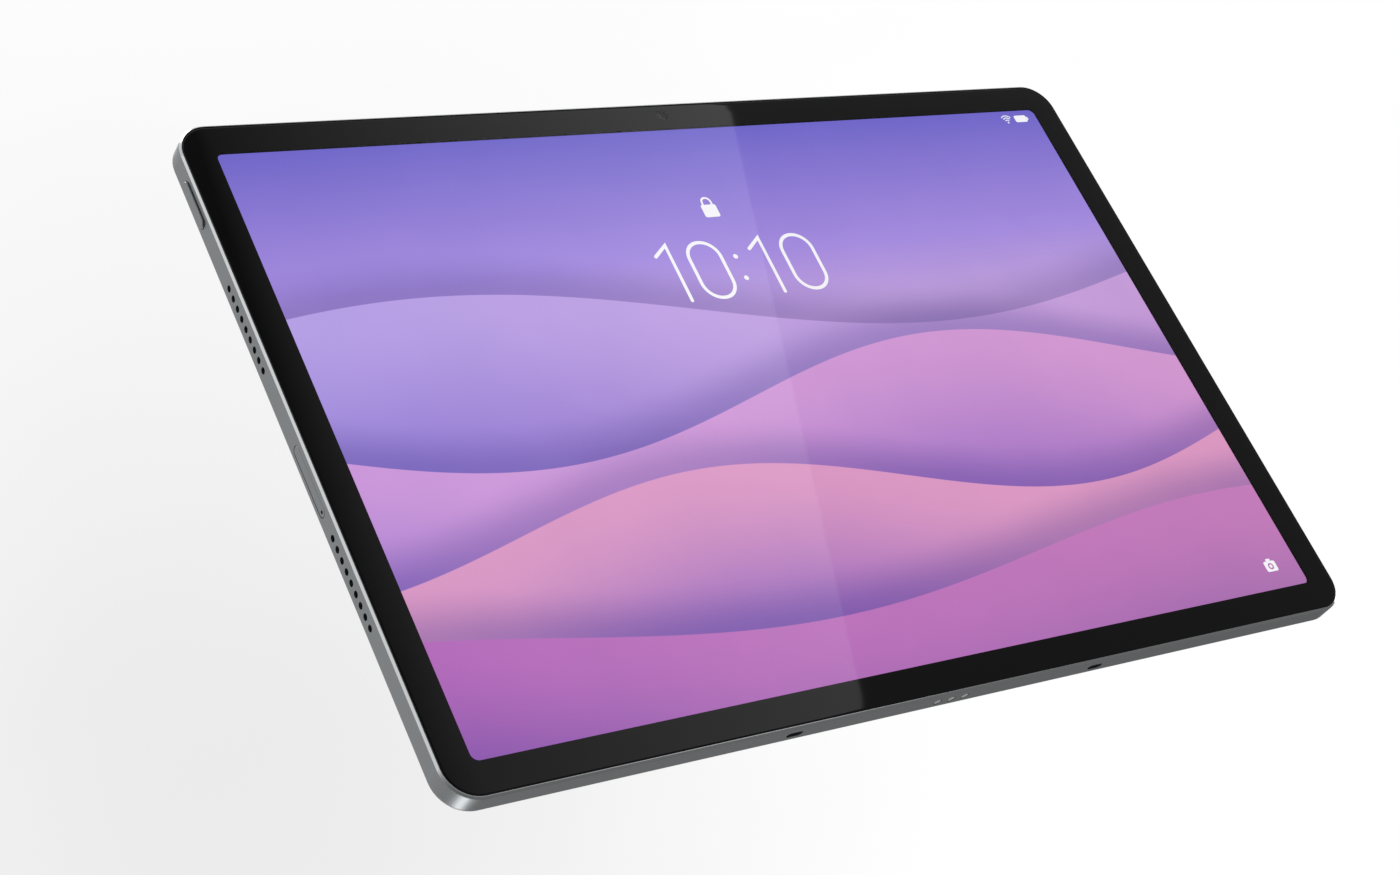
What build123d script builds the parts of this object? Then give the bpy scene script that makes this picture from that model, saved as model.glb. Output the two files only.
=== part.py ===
from build123d import *
import os

# A 12.7 inch, 16:10 tablet computer, standing upright on its long lower edge.
# Row frame: origin at the middle of the lower edge, +X to the right seen from the front,
# +Z up, and the screen faces -Y. Every depth below is counted back from the glass face.

# ---------------------------------------------------------------- driving dimensions, mm
WIDTH = 291.8
HEIGHT = 189.1
THICKNESS = 6.9
CORNER_R = 9.0
HALF_W = WIDTH / 2
HALF_H = HEIGHT / 2

RIM_CHAMFER = 0.5          # bright chamfer round the front of the housing
BACK_FILLET = 1.2          # soft edge round the back of the housing
WALL = 1.6                 # side wall round the component bay
FLOOR = 0.8                # back wall of the housing
FLOOR_DEPTH = THICKNESS - FLOOR

GLASS_W = 290.2
GLASS_H = 187.5
GLASS_R = 8.2
GLASS_T = 0.7
GLASS_GAP = 0.15           # gap between the glass and the rim
GASKET_T = 0.1
CARRIER_BACK = 1.5         # the carrier ring ends on the housing's ledge at this depth

DISPLAY_W = 275.6          # 12.7 inch panel with its narrow dead border
DISPLAY_H = 173.0
DISPLAY_R = 2.0
PANEL_BACK = 1.6
GUIDE_BACK = 2.1
TRAY_BACK = 2.3            # metal tray behind the backlight
BAY_FRONT = 2.6            # nothing but the display stands forward of this depth

SPEAKER_PITCH = 3.0
SPEAKER_HOLES = 9
SPEAKER_HOLE_R = 0.9
SPEAKER_Z = 35.5           # middle of a row of holes, above or below mid-height
SPEAKER_W = 26.1
SPEAKER_H = 30.0

POWER_Z = 72.85            # all positions along the edges are counted from the middle
BUTTON_LENGTH = 13.8
BUTTON_T = 2.9
BUTTON_PROUD = 0.5
BUTTON_GAP = 0.15
VOLUME_X = -106.0
ROCKER_LENGTH = 24.0
NUB_OFFSET = 8.0

TRAY_Z = -7.9
TRAY_LENGTH = 19.4
TRAY_T = 2.6
TRAY_GAP = 0.15
TRAY_FACE = 1.3
TRAY_BODY_W = 18.4
TRAY_BODY_T = 1.2
TRAY_REACH = 18.1
PIN_HOLE_R = 0.45

USB_DEPTH = 4.35           # axis of the charging port, behind the glass face
USB_W = 8.94
USB_T = 3.16
USB_WALL = 0.3
USB_LENGTH = 8.2

CONTACT_PITCH = 4.5
CONTACT_R = 0.95
CONTACT_SLEEVE_R = 1.2
SOCKET_X = 49.7
SOCKET_L = 4.8
SOCKET_T = 2.1

CAMERA_X = -115.2          # middle of the rear camera plate
CAMERA_Z = 71.4
PLATE_W = 45.4
PLATE_H = 30.8
PLATE_R = 3.4
PLATE_PROUD = 0.9
PLATE_POCKET = 0.5
PLATE_RIM = 0.9
LENS_OFFSET = 9.6          # lens and flash stand this far either side of the plate's middle
LENS_R = 7.1
LENS_BORE_R = 6.2
LENS_PROUD = 1.2           # proud of the plate
FLASH_R = 6.8
LED_R = 2.1

BAND_W = 286.0             # ribbed band across the upper back
BAND_H = 41.8
BAND_Z = 71.4
BAND_R = 7.5
BAND_DEPTH = 0.12
MARK_LENGTH = 14.9         # pen-charging mark in the middle of the band
MARK_T = 1.9
MARK_DEPTH = 0.2

FRONT_CAMERA_Z = 90.5
FRONT_CAMERA_R = 1.9

BOARD_W = 168.0
BOARD_H = 36.0
BOARD_Z = 70.0
BOARD_FRONT = 4.4
BOARD_BACK = 5.2
FLEX_T = 0.15
CELL_W = 98.0
CELL_H = 100.0
CELL_Z = -24.0
CELL_T = 3.3
SCREW_POINTS = [(-80, 57), (-80, 84), (-13, 57), (-13, 84), (80, 57), (80, 84)]

os.makedirs("parts", exist_ok=True)


# ---------------------------------------------------------------- planes and repeated forms
def face_plane(depth):
    """Parallel to the glass, centred on it: sketch x is +X, y is +Z, extrusion runs to the front."""
    return Plane(origin=(0, depth - THICKNESS / 2, HALF_H), x_dir=(1, 0, 0), z_dir=(0, -1, 0))


def side_plane(x):
    """Across the short edges: sketch x is +Z, y runs back, extrusion runs towards -X."""
    return Plane(origin=(x, 0, HALF_H), x_dir=(0, 0, 1), z_dir=(-1, 0, 0))


def level_plane(z):
    """Across the long edges, z from mid-height: sketch x is +X, y runs back, extrusion runs up."""
    return Plane(origin=(0, 0, HALF_H + z), x_dir=(1, 0, 0), z_dir=(0, 0, 1))


def behind(depth):
    """A depth behind the glass face, as a distance from mid-thickness."""
    return depth - THICKNESS / 2


def save(piece, name):
    """Labels a finished piece and writes it under its own name."""
    piece.part.label = name
    export_step(piece.part, f"parts/{name}.step")


def slab(width, height, radius, front, back, centre=(0, 0)):
    """Rounded slab parallel to the glass, between two depths."""
    with BuildPart() as piece:
        with BuildSketch(face_plane(back)):
            with Locations(centre):
                RectangleRounded(width, height, radius)
        extrude(amount=back - front)
    return piece


def disc(radius, front, back, centre):
    """Disc parallel to the glass, between two depths."""
    with BuildPart() as piece:
        with BuildSketch(face_plane(back)):
            with Locations(centre):
                Circle(radius)
        extrude(amount=back - front)
    return piece


def block(x_range, z_range, front, back):
    """Square-edged block given by its limits, the depths counted behind the glass face."""
    with BuildPart() as piece:
        with BuildSketch(face_plane(back)):
            with Locations(((x_range[0] + x_range[1]) / 2, (z_range[0] + z_range[1]) / 2)):
                Rectangle(x_range[1] - x_range[0], z_range[1] - z_range[0])
        extrude(amount=back - front)
    return piece


def ribbon(points, front, back):
    """Flat flexible circuit whose outline, seen from the front, is a polygon."""
    with BuildPart() as piece:
        with BuildSketch(face_plane(back)):
            with BuildLine():
                Polyline(*points, close=True)
            make_face()
        extrude(amount=back - front)
    return piece


LENS_AT = (CAMERA_X - LENS_OFFSET, CAMERA_Z)
FLASH_AT = (CAMERA_X + LENS_OFFSET, CAMERA_Z)
FRONT_CAMERA_AT = (0, FRONT_CAMERA_Z)
SPEAKER_ROW = [SPEAKER_PITCH * (i - (SPEAKER_HOLES - 1) / 2) for i in range(SPEAKER_HOLES)]
INNER_X = HALF_W - WALL
INNER_Z = HALF_H - WALL
PLATE_TOP = THICKNESS + PLATE_PROUD
PLATE_SEAT = THICKNESS - PLATE_POCKET

# ---------------------------------------------------------------- rear housing
BOSS_R = 1.7
BOSS_BORE_R = 0.7
MIC_X = 60.0
MIC_HOLE_R = 0.45
LENS_HOLE_R = 4.6
FLASH_HOLE_R = 2.5

with BuildPart() as rear_housing:
    with BuildSketch(face_plane(THICKNESS)):
        RectangleRounded(WIDTH, HEIGHT, CORNER_R)
    extrude(amount=THICKNESS)
    chamfer(rear_housing.faces().sort_by(Axis.Y)[0].edges(), RIM_CHAMFER)
    fillet(rear_housing.faces().sort_by(Axis.Y)[-1].edges(), BACK_FILLET)
    # recess for the glass and its carrier ring, then the deeper component bay
    with BuildSketch(face_plane(CARRIER_BACK)):
        RectangleRounded(GLASS_W + 2 * GLASS_GAP, GLASS_H + 2 * GLASS_GAP, GLASS_R + GLASS_GAP)
    extrude(amount=CARRIER_BACK, mode=Mode.SUBTRACT)
    with BuildSketch(face_plane(FLOOR_DEPTH)):
        RectangleRounded(WIDTH - 2 * WALL, HEIGHT - 2 * WALL, CORNER_R - WALL)
    extrude(amount=FLOOR_DEPTH - CARRIER_BACK, mode=Mode.SUBTRACT)
    # bosses under the main board
    with BuildSketch(face_plane(FLOOR_DEPTH)):
        with Locations(*SCREW_POINTS):
            Circle(BOSS_R)
    extrude(amount=FLOOR_DEPTH - BOARD_BACK)
    with BuildSketch(face_plane(FLOOR_DEPTH)):
        with Locations(*SCREW_POINTS):
            Circle(BOSS_BORE_R)
    extrude(amount=FLOOR_DEPTH - BOARD_BACK, mode=Mode.SUBTRACT)
    # ribbed band, camera seat and pen mark are shallow recesses in the back
    with BuildSketch(face_plane(THICKNESS)):
        with Locations((0, BAND_Z)):
            RectangleRounded(BAND_W, BAND_H, BAND_R)
    extrude(amount=BAND_DEPTH, mode=Mode.SUBTRACT)
    with BuildSketch(face_plane(THICKNESS)):
        with Locations((CAMERA_X, CAMERA_Z)):
            RectangleRounded(PLATE_W, PLATE_H, PLATE_R)
    extrude(amount=PLATE_POCKET, mode=Mode.SUBTRACT)
    with BuildSketch(face_plane(THICKNESS)):
        with Locations((0, BAND_Z)):
            SlotOverall(MARK_LENGTH, MARK_T)
    extrude(amount=MARK_DEPTH, mode=Mode.SUBTRACT)
    with BuildSketch(face_plane(THICKNESS)):
        with Locations(LENS_AT):
            Circle(LENS_HOLE_R)
        with Locations(FLASH_AT):
            Circle(FLASH_HOLE_R)
    extrude(amount=FLOOR, mode=Mode.SUBTRACT)
    # speaker holes: one cut passes through both short walls
    with BuildSketch(side_plane(HALF_W)):
        with Locations(*[(side * SPEAKER_Z + z, 0) for side in (-1, 1) for z in SPEAKER_ROW]):
            Circle(SPEAKER_HOLE_R)
    extrude(amount=WIDTH, mode=Mode.SUBTRACT)
    # right wall: charging port
    with BuildSketch(side_plane(HALF_W)):
        with Locations((0, behind(USB_DEPTH))):
            SlotOverall(USB_W + 2 * 0.08, USB_T + 2 * 0.08)
    extrude(amount=WALL, mode=Mode.SUBTRACT)
    # left wall: power button and card tray
    with BuildSketch(side_plane(WALL - HALF_W)):
        with Locations((POWER_Z, 0)):
            SlotOverall(BUTTON_LENGTH + 2 * BUTTON_GAP, BUTTON_T + 2 * BUTTON_GAP)
        with Locations((TRAY_Z, 0)):
            SlotOverall(TRAY_LENGTH + 2 * TRAY_GAP, TRAY_T + 2 * TRAY_GAP)
    extrude(amount=WALL, mode=Mode.SUBTRACT)
    # top wall: volume rocker and microphones
    with BuildSketch(level_plane(INNER_Z)):
        with Locations((VOLUME_X, 0)):
            SlotOverall(ROCKER_LENGTH + 2 * BUTTON_GAP, BUTTON_T + 2 * BUTTON_GAP)
        with Locations((-MIC_X, 0), (MIC_X, 0)):
            Circle(MIC_HOLE_R)
    extrude(amount=WALL, mode=Mode.SUBTRACT)
    # bottom wall: dock contacts and locating sockets
    with BuildSketch(level_plane(-HALF_H)):
        with GridLocations(CONTACT_PITCH, 1, 3, 1):
            Circle(CONTACT_SLEEVE_R)
        with Locations((-SOCKET_X, 0), (SOCKET_X, 0)):
            SlotOverall(SOCKET_L, SOCKET_T)
    extrude(amount=WALL, mode=Mode.SUBTRACT)
save(rear_housing, "rear_housing")

# ---------------------------------------------------------------- front glass and display stack
GLASS_EDGE = 0.2
with BuildPart() as cover_glass:
    add(slab(GLASS_W, GLASS_H, GLASS_R, 0, GLASS_T).part)
    fillet(cover_glass.faces().sort_by(Axis.Y)[0].edges(), GLASS_EDGE)
save(cover_glass, "cover_glass")

RING_INNER_W = DISPLAY_W + 0.8
RING_INNER_H = DISPLAY_H + 0.8
CAMERA_CLEAR = 0.4

with BuildPart() as glass_gasket:
    with BuildSketch(face_plane(GLASS_T + GASKET_T)):
        RectangleRounded(GLASS_W - 0.6, GLASS_H - 0.6, GLASS_R - 0.3)
        RectangleRounded(RING_INNER_W + 0.6, RING_INNER_H + 0.6, DISPLAY_R, mode=Mode.SUBTRACT)
        with Locations(FRONT_CAMERA_AT):
            Circle(FRONT_CAMERA_R + CAMERA_CLEAR, mode=Mode.SUBTRACT)
    extrude(amount=GASKET_T)
save(glass_gasket, "glass_gasket")

with BuildPart() as display_carrier:
    with BuildSketch(face_plane(CARRIER_BACK)):
        RectangleRounded(GLASS_W, GLASS_H, GLASS_R)
        RectangleRounded(RING_INNER_W, RING_INNER_H, DISPLAY_R, mode=Mode.SUBTRACT)
        with Locations(FRONT_CAMERA_AT):
            Circle(FRONT_CAMERA_R + CAMERA_CLEAR, mode=Mode.SUBTRACT)
    extrude(amount=CARRIER_BACK - GLASS_T - GASKET_T)
save(display_carrier, "display_carrier")

display_panel = slab(DISPLAY_W, DISPLAY_H, DISPLAY_R, GLASS_T, PANEL_BACK)
save(display_panel, "display_panel")

LED_STRIP_H = 2.6
light_guide = slab(
    DISPLAY_W - 3, DISPLAY_H - LED_STRIP_H - 3, DISPLAY_R, PANEL_BACK, GUIDE_BACK, (0, LED_STRIP_H / 2)
)
save(light_guide, "light_guide")

# flexible strip with a row of small light sources that face the guide's lower edge
STRIP_Z = -DISPLAY_H / 2 + 1.6
LED_COUNT = 44
with BuildPart() as led_strip:
    with BuildSketch(face_plane(GUIDE_BACK)):
        with Locations((0, STRIP_Z)):
            Rectangle(DISPLAY_W - 3, LED_STRIP_H - 0.4)
    extrude(amount=0.15)
    with BuildSketch(face_plane(GUIDE_BACK - 0.15)):
        with Locations((0, STRIP_Z + 0.4)):
            with GridLocations((DISPLAY_W - 8) / LED_COUNT, 1, LED_COUNT, 1):
                Rectangle(3.0, 1.0)
    extrude(amount=0.3)
save(led_strip, "led_strip")

display_backplate = slab(DISPLAY_W + 0.4, DISPLAY_H + 0.4, DISPLAY_R, GUIDE_BACK, TRAY_BACK)
save(display_backplate, "display_backplate")

# the display's flexible circuit steps down from the metal tray to the main board
FLEX_X = 66.0
FLEX_W = 16.0
FLEX_LOW_Z = 36.0
FLEX_STEP_Z = 47.0
FLEX_HIGH_Z = 58.0
with BuildPart() as display_flex:
    with BuildSketch(Plane.YZ.offset(FLEX_X - FLEX_W / 2)):
        with BuildLine():
            upper = behind(TRAY_BACK)
            lower = behind(BOARD_FRONT)
            Polyline(
                (upper, HALF_H + FLEX_LOW_Z),
                (upper, HALF_H + FLEX_STEP_Z + FLEX_T),
                (lower - FLEX_T, HALF_H + FLEX_STEP_Z + FLEX_T),
                (lower - FLEX_T, HALF_H + FLEX_HIGH_Z),
                (lower, HALF_H + FLEX_HIGH_Z),
                (lower, HALF_H + FLEX_STEP_Z),
                (upper + FLEX_T, HALF_H + FLEX_STEP_Z),
                (upper + FLEX_T, HALF_H + FLEX_LOW_Z),
                close=True,
            )
        make_face()
    extrude(amount=FLEX_W)
save(display_flex, "display_flex")

# ---------------------------------------------------------------- battery
CELL_BACK = FLOOR_DEPTH - 0.1
for side, name in ((-1, "battery_cell_left"), (1, "battery_cell_right")):
    with BuildPart() as cell:
        add(slab(CELL_W, CELL_H, 2.0, CELL_BACK - CELL_T, CELL_BACK, (side * (CELL_W / 2 + 2), CELL_Z)).part)
        fillet(cell.edges().filter_by(Axis.X), 0.8)
    save(cell, name)

CELL_TOP = CELL_Z + CELL_H / 2
battery_board = slab(60, 5, 0.5, 3.4, BOARD_FRONT - FLEX_T, (0, CELL_TOP + 4))
save(battery_board, "battery_board")
battery_flex = block((-8, 8), (CELL_TOP + 2, BOARD_Z - BOARD_H / 2 + 4), BOARD_FRONT - FLEX_T, BOARD_FRONT)
save(battery_flex, "battery_flex")

# ---------------------------------------------------------------- main board
SCREW_HEAD_R = 1.3
SCREW_HEAD_T = 0.5
SCREW_R = 0.65
with BuildPart() as main_board:
    with BuildSketch(face_plane(BOARD_BACK)):
        with Locations((0, BOARD_Z)):
            RectangleRounded(BOARD_W, BOARD_H, 1.5)
        with Locations(*SCREW_POINTS):
            Circle(SCREW_R + 0.15, mode=Mode.SUBTRACT)
    extrude(amount=BOARD_BACK - BOARD_FRONT)
save(main_board, "main_board")

with BuildPart() as board_screws:
    with BuildSketch(face_plane(BOARD_FRONT)):
        with Locations(*SCREW_POINTS):
            Circle(SCREW_HEAD_R)
    extrude(amount=SCREW_HEAD_T)
    with BuildSketch(face_plane(FLOOR_DEPTH - 0.1)):
        with Locations(*SCREW_POINTS):
            Circle(SCREW_R)
    extrude(amount=FLOOR_DEPTH - 0.1 - BOARD_FRONT)
    with BuildSketch(face_plane(BOARD_FRONT - SCREW_HEAD_T)):
        with Locations(*SCREW_POINTS):
            Rectangle(1.5, 0.3)
            Rectangle(0.3, 1.5)
    extrude(amount=-0.25, mode=Mode.SUBTRACT)
save(board_screws, "board_screws")

CHIP_T = 1.0
CHIPS = [(-54, 70, 15, 15), (-33, 70, 13, 11), (24, 74, 9, 9), (38, 66, 12, 12), (26, 61, 6, 6)]
with BuildPart() as main_chips:
    for x, z, chip_w, chip_h in CHIPS:
        with BuildSketch(face_plane(BOARD_FRONT)):
            with Locations((x, z)):
                Rectangle(chip_w, chip_h)
        extrude(amount=CHIP_T)
save(main_chips, "main_chips")

SHIELD_T = 1.5
SHIELD_WALL = 0.2
for name, shield_x, shield_w in (("processor_shield", -43, 46), ("power_shield", 32, 36)):
    with BuildPart() as shield:
        add(slab(shield_w, 28, 1, BOARD_FRONT - SHIELD_T, BOARD_FRONT, (shield_x, BOARD_Z)).part)
        with BuildSketch(face_plane(BOARD_FRONT)):
            with Locations((shield_x, BOARD_Z)):
                RectangleRounded(shield_w - 2 * SHIELD_WALL, 28 - 2 * SHIELD_WALL, 0.8)
        extrude(amount=SHIELD_T - SHIELD_WALL, mode=Mode.SUBTRACT)
    save(shield, name)

thermal_sheet = slab(114, 26, 1, BOARD_FRONT - SHIELD_T - 0.1, BOARD_FRONT - SHIELD_T, (-8, BOARD_Z))
save(thermal_sheet, "thermal_sheet")

# ---------------------------------------------------------------- antennas and microphones
for side, name in ((-1, "wifi_antenna_left"), (1, "wifi_antenna_right")):
    antenna = slab(32, 3.4, 0.4, CARRIER_BACK, CARRIER_BACK + 0.2, (side * 40, INNER_Z - 1.9))
    save(antenna, name)

with BuildPart() as microphones:
    with BuildSketch(level_plane(INNER_Z - 1.3)):
        with Locations((-MIC_X, 0), (MIC_X, 0)):
            Rectangle(3.6, 2.6)
    extrude(amount=1.3)
save(microphones, "microphones")

# ---------------------------------------------------------------- front camera
with BuildPart() as front_camera:
    with BuildSketch(face_plane(4.2)):
        with Locations(FRONT_CAMERA_AT):
            RectangleRounded(4.8, 4.6, 0.4)
    extrude(amount=4.2 - 1.6)
    with BuildSketch(face_plane(1.6)):
        with Locations(FRONT_CAMERA_AT):
            Circle(FRONT_CAMERA_R)
    extrude(amount=1.6 - GLASS_T)
    with BuildSketch(face_plane(GLASS_T)):
        with Locations(FRONT_CAMERA_AT):
            Circle(FRONT_CAMERA_R / 2)
    extrude(amount=-0.3, mode=Mode.SUBTRACT)
save(front_camera, "front_camera")

# ---------------------------------------------------------------- rear camera
RIM_TOP_CHAMFER = 0.3
TRIM_FLOOR = 0.65
TRIM_HOLE_R = 5.5
with BuildPart() as camera_trim:
    with BuildSketch(face_plane(PLATE_TOP)):
        with Locations((CAMERA_X, CAMERA_Z)):
            RectangleRounded(PLATE_W, PLATE_H, PLATE_R)
    extrude(amount=PLATE_TOP - PLATE_SEAT)
    chamfer(camera_trim.faces().sort_by(Axis.Y)[-1].edges(), RIM_TOP_CHAMFER)
    with BuildSketch(face_plane(PLATE_TOP)):
        with Locations((CAMERA_X, CAMERA_Z)):
            RectangleRounded(PLATE_W - 2 * PLATE_RIM, PLATE_H - 2 * PLATE_RIM, PLATE_R - PLATE_RIM)
    extrude(amount=PLATE_TOP - PLATE_SEAT - TRIM_FLOOR, mode=Mode.SUBTRACT)
    with BuildSketch(face_plane(PLATE_TOP)):
        with Locations(LENS_AT):
            Circle(TRIM_HOLE_R)
        with Locations(FLASH_AT):
            Circle(FLASH_HOLE_R)
    extrude(amount=PLATE_TOP - PLATE_SEAT, mode=Mode.SUBTRACT)
save(camera_trim, "camera_trim")

SEAT_TOP = PLATE_SEAT + TRIM_FLOOR
GLAZING_FRONT = SEAT_TOP + 0.05
GLAZING_BACK = PLATE_TOP - 0.1
with BuildPart() as camera_plate:
    with BuildSketch(face_plane(GLAZING_BACK)):
        with Locations((CAMERA_X, CAMERA_Z)):
            RectangleRounded(PLATE_W - 2 * PLATE_RIM - 0.2, PLATE_H - 2 * PLATE_RIM - 0.2, PLATE_R - 1.0)
        with Locations(LENS_AT):
            Circle(LENS_R + 0.05, mode=Mode.SUBTRACT)
        with Locations(FLASH_AT):
            Circle(FLASH_R + 0.05, mode=Mode.SUBTRACT)
    extrude(amount=GLAZING_BACK - GLAZING_FRONT)
save(camera_plate, "camera_plate")

LENS_TOP = GLAZING_BACK + LENS_PROUD
with BuildPart() as lens_ring:
    with BuildSketch(face_plane(LENS_TOP)):
        with Locations(LENS_AT):
            Circle(LENS_R)
            Circle(LENS_BORE_R, mode=Mode.SUBTRACT)
    extrude(amount=LENS_TOP - SEAT_TOP)
    chamfer(lens_ring.faces().sort_by(Axis.Y)[-1].edges(), 0.2)
save(lens_ring, "lens_ring")

# black cone between the ring and the lens barrel
CONE_TOP = LENS_TOP - 0.55
BARREL_R = 3.8
SEAT_R = LENS_BORE_R - 0.05
with BuildPart() as lens_seat:
    with BuildSketch(face_plane(CONE_TOP)):
        with Locations(LENS_AT):
            Circle(SEAT_R)
            Circle(BARREL_R + 0.1, mode=Mode.SUBTRACT)
    extrude(amount=CONE_TOP - SEAT_TOP)
    chamfer(lens_seat.faces().sort_by(Axis.Y)[-1].edges().sort_by(SortBy.LENGTH)[0], 0.7)
save(lens_seat, "lens_seat")

INNER_RING_R = 5.7
with BuildPart() as lens_inner_ring:
    with BuildSketch(face_plane(LENS_TOP - 0.15)):
        with Locations(LENS_AT):
            Circle(SEAT_R)
            Circle(INNER_RING_R, mode=Mode.SUBTRACT)
    extrude(amount=LENS_TOP - 0.15 - CONE_TOP)
save(lens_inner_ring, "lens_inner_ring")

lens_cover = disc(INNER_RING_R - 0.03, CONE_TOP, CONE_TOP + 0.3, LENS_AT)
save(lens_cover, "lens_cover")

with BuildPart() as rear_camera:
    with BuildSketch(face_plane(FLOOR_DEPTH)):
        with Locations(LENS_AT):
            RectangleRounded(11, 11, 0.8)
    extrude(amount=FLOOR_DEPTH - BAY_FRONT)
    with BuildSketch(face_plane(CONE_TOP - 0.35)):
        with Locations(LENS_AT):
            Circle(BARREL_R)
    extrude(amount=CONE_TOP - 0.35 - FLOOR_DEPTH)
    with BuildSketch(face_plane(CONE_TOP - 0.35)):
        with Locations(LENS_AT):
            Circle(2.2)
    extrude(amount=0.4, mode=Mode.SUBTRACT)
save(rear_camera, "rear_camera")

rear_camera_flex = block(
    (LENS_AT[0] + 5.5, -BOARD_W / 2 + 6), (CAMERA_Z - 4, CAMERA_Z + 4), BOARD_FRONT - FLEX_T, BOARD_FRONT
)
save(rear_camera_flex, "rear_camera_flex")

with BuildPart() as flash_window:
    with BuildSketch(face_plane(GLAZING_BACK)):
        with Locations(FLASH_AT):
            Circle(FLASH_R)
            Circle(LED_R + 0.1, mode=Mode.SUBTRACT)
    extrude(amount=GLAZING_BACK - GLAZING_FRONT)
save(flash_window, "flash_window")

with BuildPart() as flash_led:
    with BuildSketch(face_plane(GLAZING_BACK - 0.25)):
        with Locations(FLASH_AT):
            Circle(LED_R)
    extrude(amount=GLAZING_BACK - 0.25 - FLOOR_DEPTH + 0.3)
    with BuildSketch(face_plane(GLAZING_BACK - 0.1)):
        with Locations(FLASH_AT):
            Circle(LED_R / 2)
    extrude(amount=0.15)
save(flash_led, "flash_led")

# ---------------------------------------------------------------- side keys
FLANGE_GROW = 1.2          # the flange is longer than its cap, and a little thicker
FLANGE_T = BUTTON_T + 0.7

# power button: cap in the wall, retaining flange and plunger behind it
POWER_FLANGE_X = -INNER_X + 0.1
with BuildPart() as power_button:
    with BuildSketch(side_plane(POWER_FLANGE_X)):
        with Locations((POWER_Z, 0)):
            SlotOverall(BUTTON_LENGTH, BUTTON_T)
    extrude(amount=HALF_W + BUTTON_PROUD + POWER_FLANGE_X)
    fillet(power_button.faces().sort_by(Axis.X)[0].edges(), 0.3)
    with BuildSketch(side_plane(POWER_FLANGE_X + 0.5)):
        with Locations((POWER_Z, 0)):
            SlotOverall(BUTTON_LENGTH + FLANGE_GROW, FLANGE_T)
    extrude(amount=0.5)
    with BuildSketch(side_plane(POWER_FLANGE_X + 0.85)):
        with Locations((POWER_Z, 0)):
            Circle(0.75)
    extrude(amount=0.35)
save(power_button, "power_button")

SWITCH_X = POWER_FLANGE_X + 0.85 + 0.35
with BuildPart() as power_switch:
    with BuildSketch(side_plane(SWITCH_X + 0.55)):
        with Locations((POWER_Z, 0)):
            Rectangle(4, 1.5)
    extrude(amount=0.35)
    with BuildSketch(side_plane(SWITCH_X + 0.2)):
        with Locations((POWER_Z, 0)):
            Circle(0.7)
    extrude(amount=0.2)
save(power_switch, "power_switch")

FLEX_EDGE_X = SWITCH_X + 0.55
with BuildPart() as power_bracket:
    with BuildSketch(side_plane(FLEX_EDGE_X + 0.7)):
        with Locations((POWER_Z, 0)):
            RectangleRounded(18, 3.4, 0.6)
    extrude(amount=0.5)
save(power_bracket, "power_bracket")

# volume rocker: tilts about its middle, with one plunger under each half
ROCKER_INNER_Z = INNER_Z - 0.35
NUB_BOTTOM_Z = ROCKER_INNER_Z - 0.85
with BuildPart() as volume_rocker:
    with BuildSketch(level_plane(ROCKER_INNER_Z)):
        with Locations((VOLUME_X, 0)):
            SlotOverall(ROCKER_LENGTH, BUTTON_T)
    extrude(amount=HALF_H + BUTTON_PROUD - ROCKER_INNER_Z)
    fillet(volume_rocker.faces().sort_by(Axis.Z)[-1].edges(), 0.3)
    with BuildSketch(level_plane(ROCKER_INNER_Z - 0.5)):
        with Locations((VOLUME_X, 0)):
            SlotOverall(ROCKER_LENGTH + FLANGE_GROW, FLANGE_T)
    extrude(amount=0.5)
    with BuildSketch(level_plane(NUB_BOTTOM_Z)):
        with Locations((VOLUME_X - NUB_OFFSET, 0), (VOLUME_X + NUB_OFFSET, 0)):
            Circle(0.75)
    extrude(amount=0.35)
save(volume_rocker, "volume_rocker")

VOLUME_SWITCH_Z = NUB_BOTTOM_Z - 0.2
with BuildPart() as volume_switches:
    with BuildSketch(level_plane(VOLUME_SWITCH_Z - 0.55)):
        with Locations((VOLUME_X - NUB_OFFSET, 0), (VOLUME_X + NUB_OFFSET, 0)):
            Rectangle(4, 1.5)
    extrude(amount=0.35)
    with BuildSketch(level_plane(VOLUME_SWITCH_Z - 0.2)):
        with Locations((VOLUME_X - NUB_OFFSET, 0), (VOLUME_X + NUB_OFFSET, 0)):
            Circle(0.7)
    extrude(amount=0.2)
save(volume_switches, "volume_switches")

FLEX_TOP_Z = VOLUME_SWITCH_Z - 0.55
with BuildPart() as volume_bracket:
    with BuildSketch(level_plane(FLEX_TOP_Z - 0.7)):
        with Locations((VOLUME_X, 0)):
            RectangleRounded(28, 3.4, 0.6)
    extrude(amount=0.5)
save(volume_bracket, "volume_bracket")

# one tape on edge joins both keys' switches to the main board
KEY_FLEX_T = 0.2
CORNER_CUT = 5.5
key_flex = ribbon(
    [
        (FLEX_EDGE_X, POWER_Z - 7),
        (FLEX_EDGE_X, FLEX_TOP_Z - CORNER_CUT),
        (FLEX_EDGE_X + CORNER_CUT, FLEX_TOP_Z),
        (-76, FLEX_TOP_Z),
        (-76, BOARD_Z + BOARD_H / 2),
        (-76 - KEY_FLEX_T, BOARD_Z + BOARD_H / 2),
        (-76 - KEY_FLEX_T, FLEX_TOP_Z - KEY_FLEX_T),
        (FLEX_EDGE_X + CORNER_CUT + KEY_FLEX_T / 2, FLEX_TOP_Z - KEY_FLEX_T),
        (FLEX_EDGE_X + KEY_FLEX_T, FLEX_TOP_Z - CORNER_CUT - KEY_FLEX_T / 2),
        (FLEX_EDGE_X + KEY_FLEX_T, POWER_Z - 7),
    ],
    2.7,
    4.2,
)
save(key_flex, "key_flex")

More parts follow.
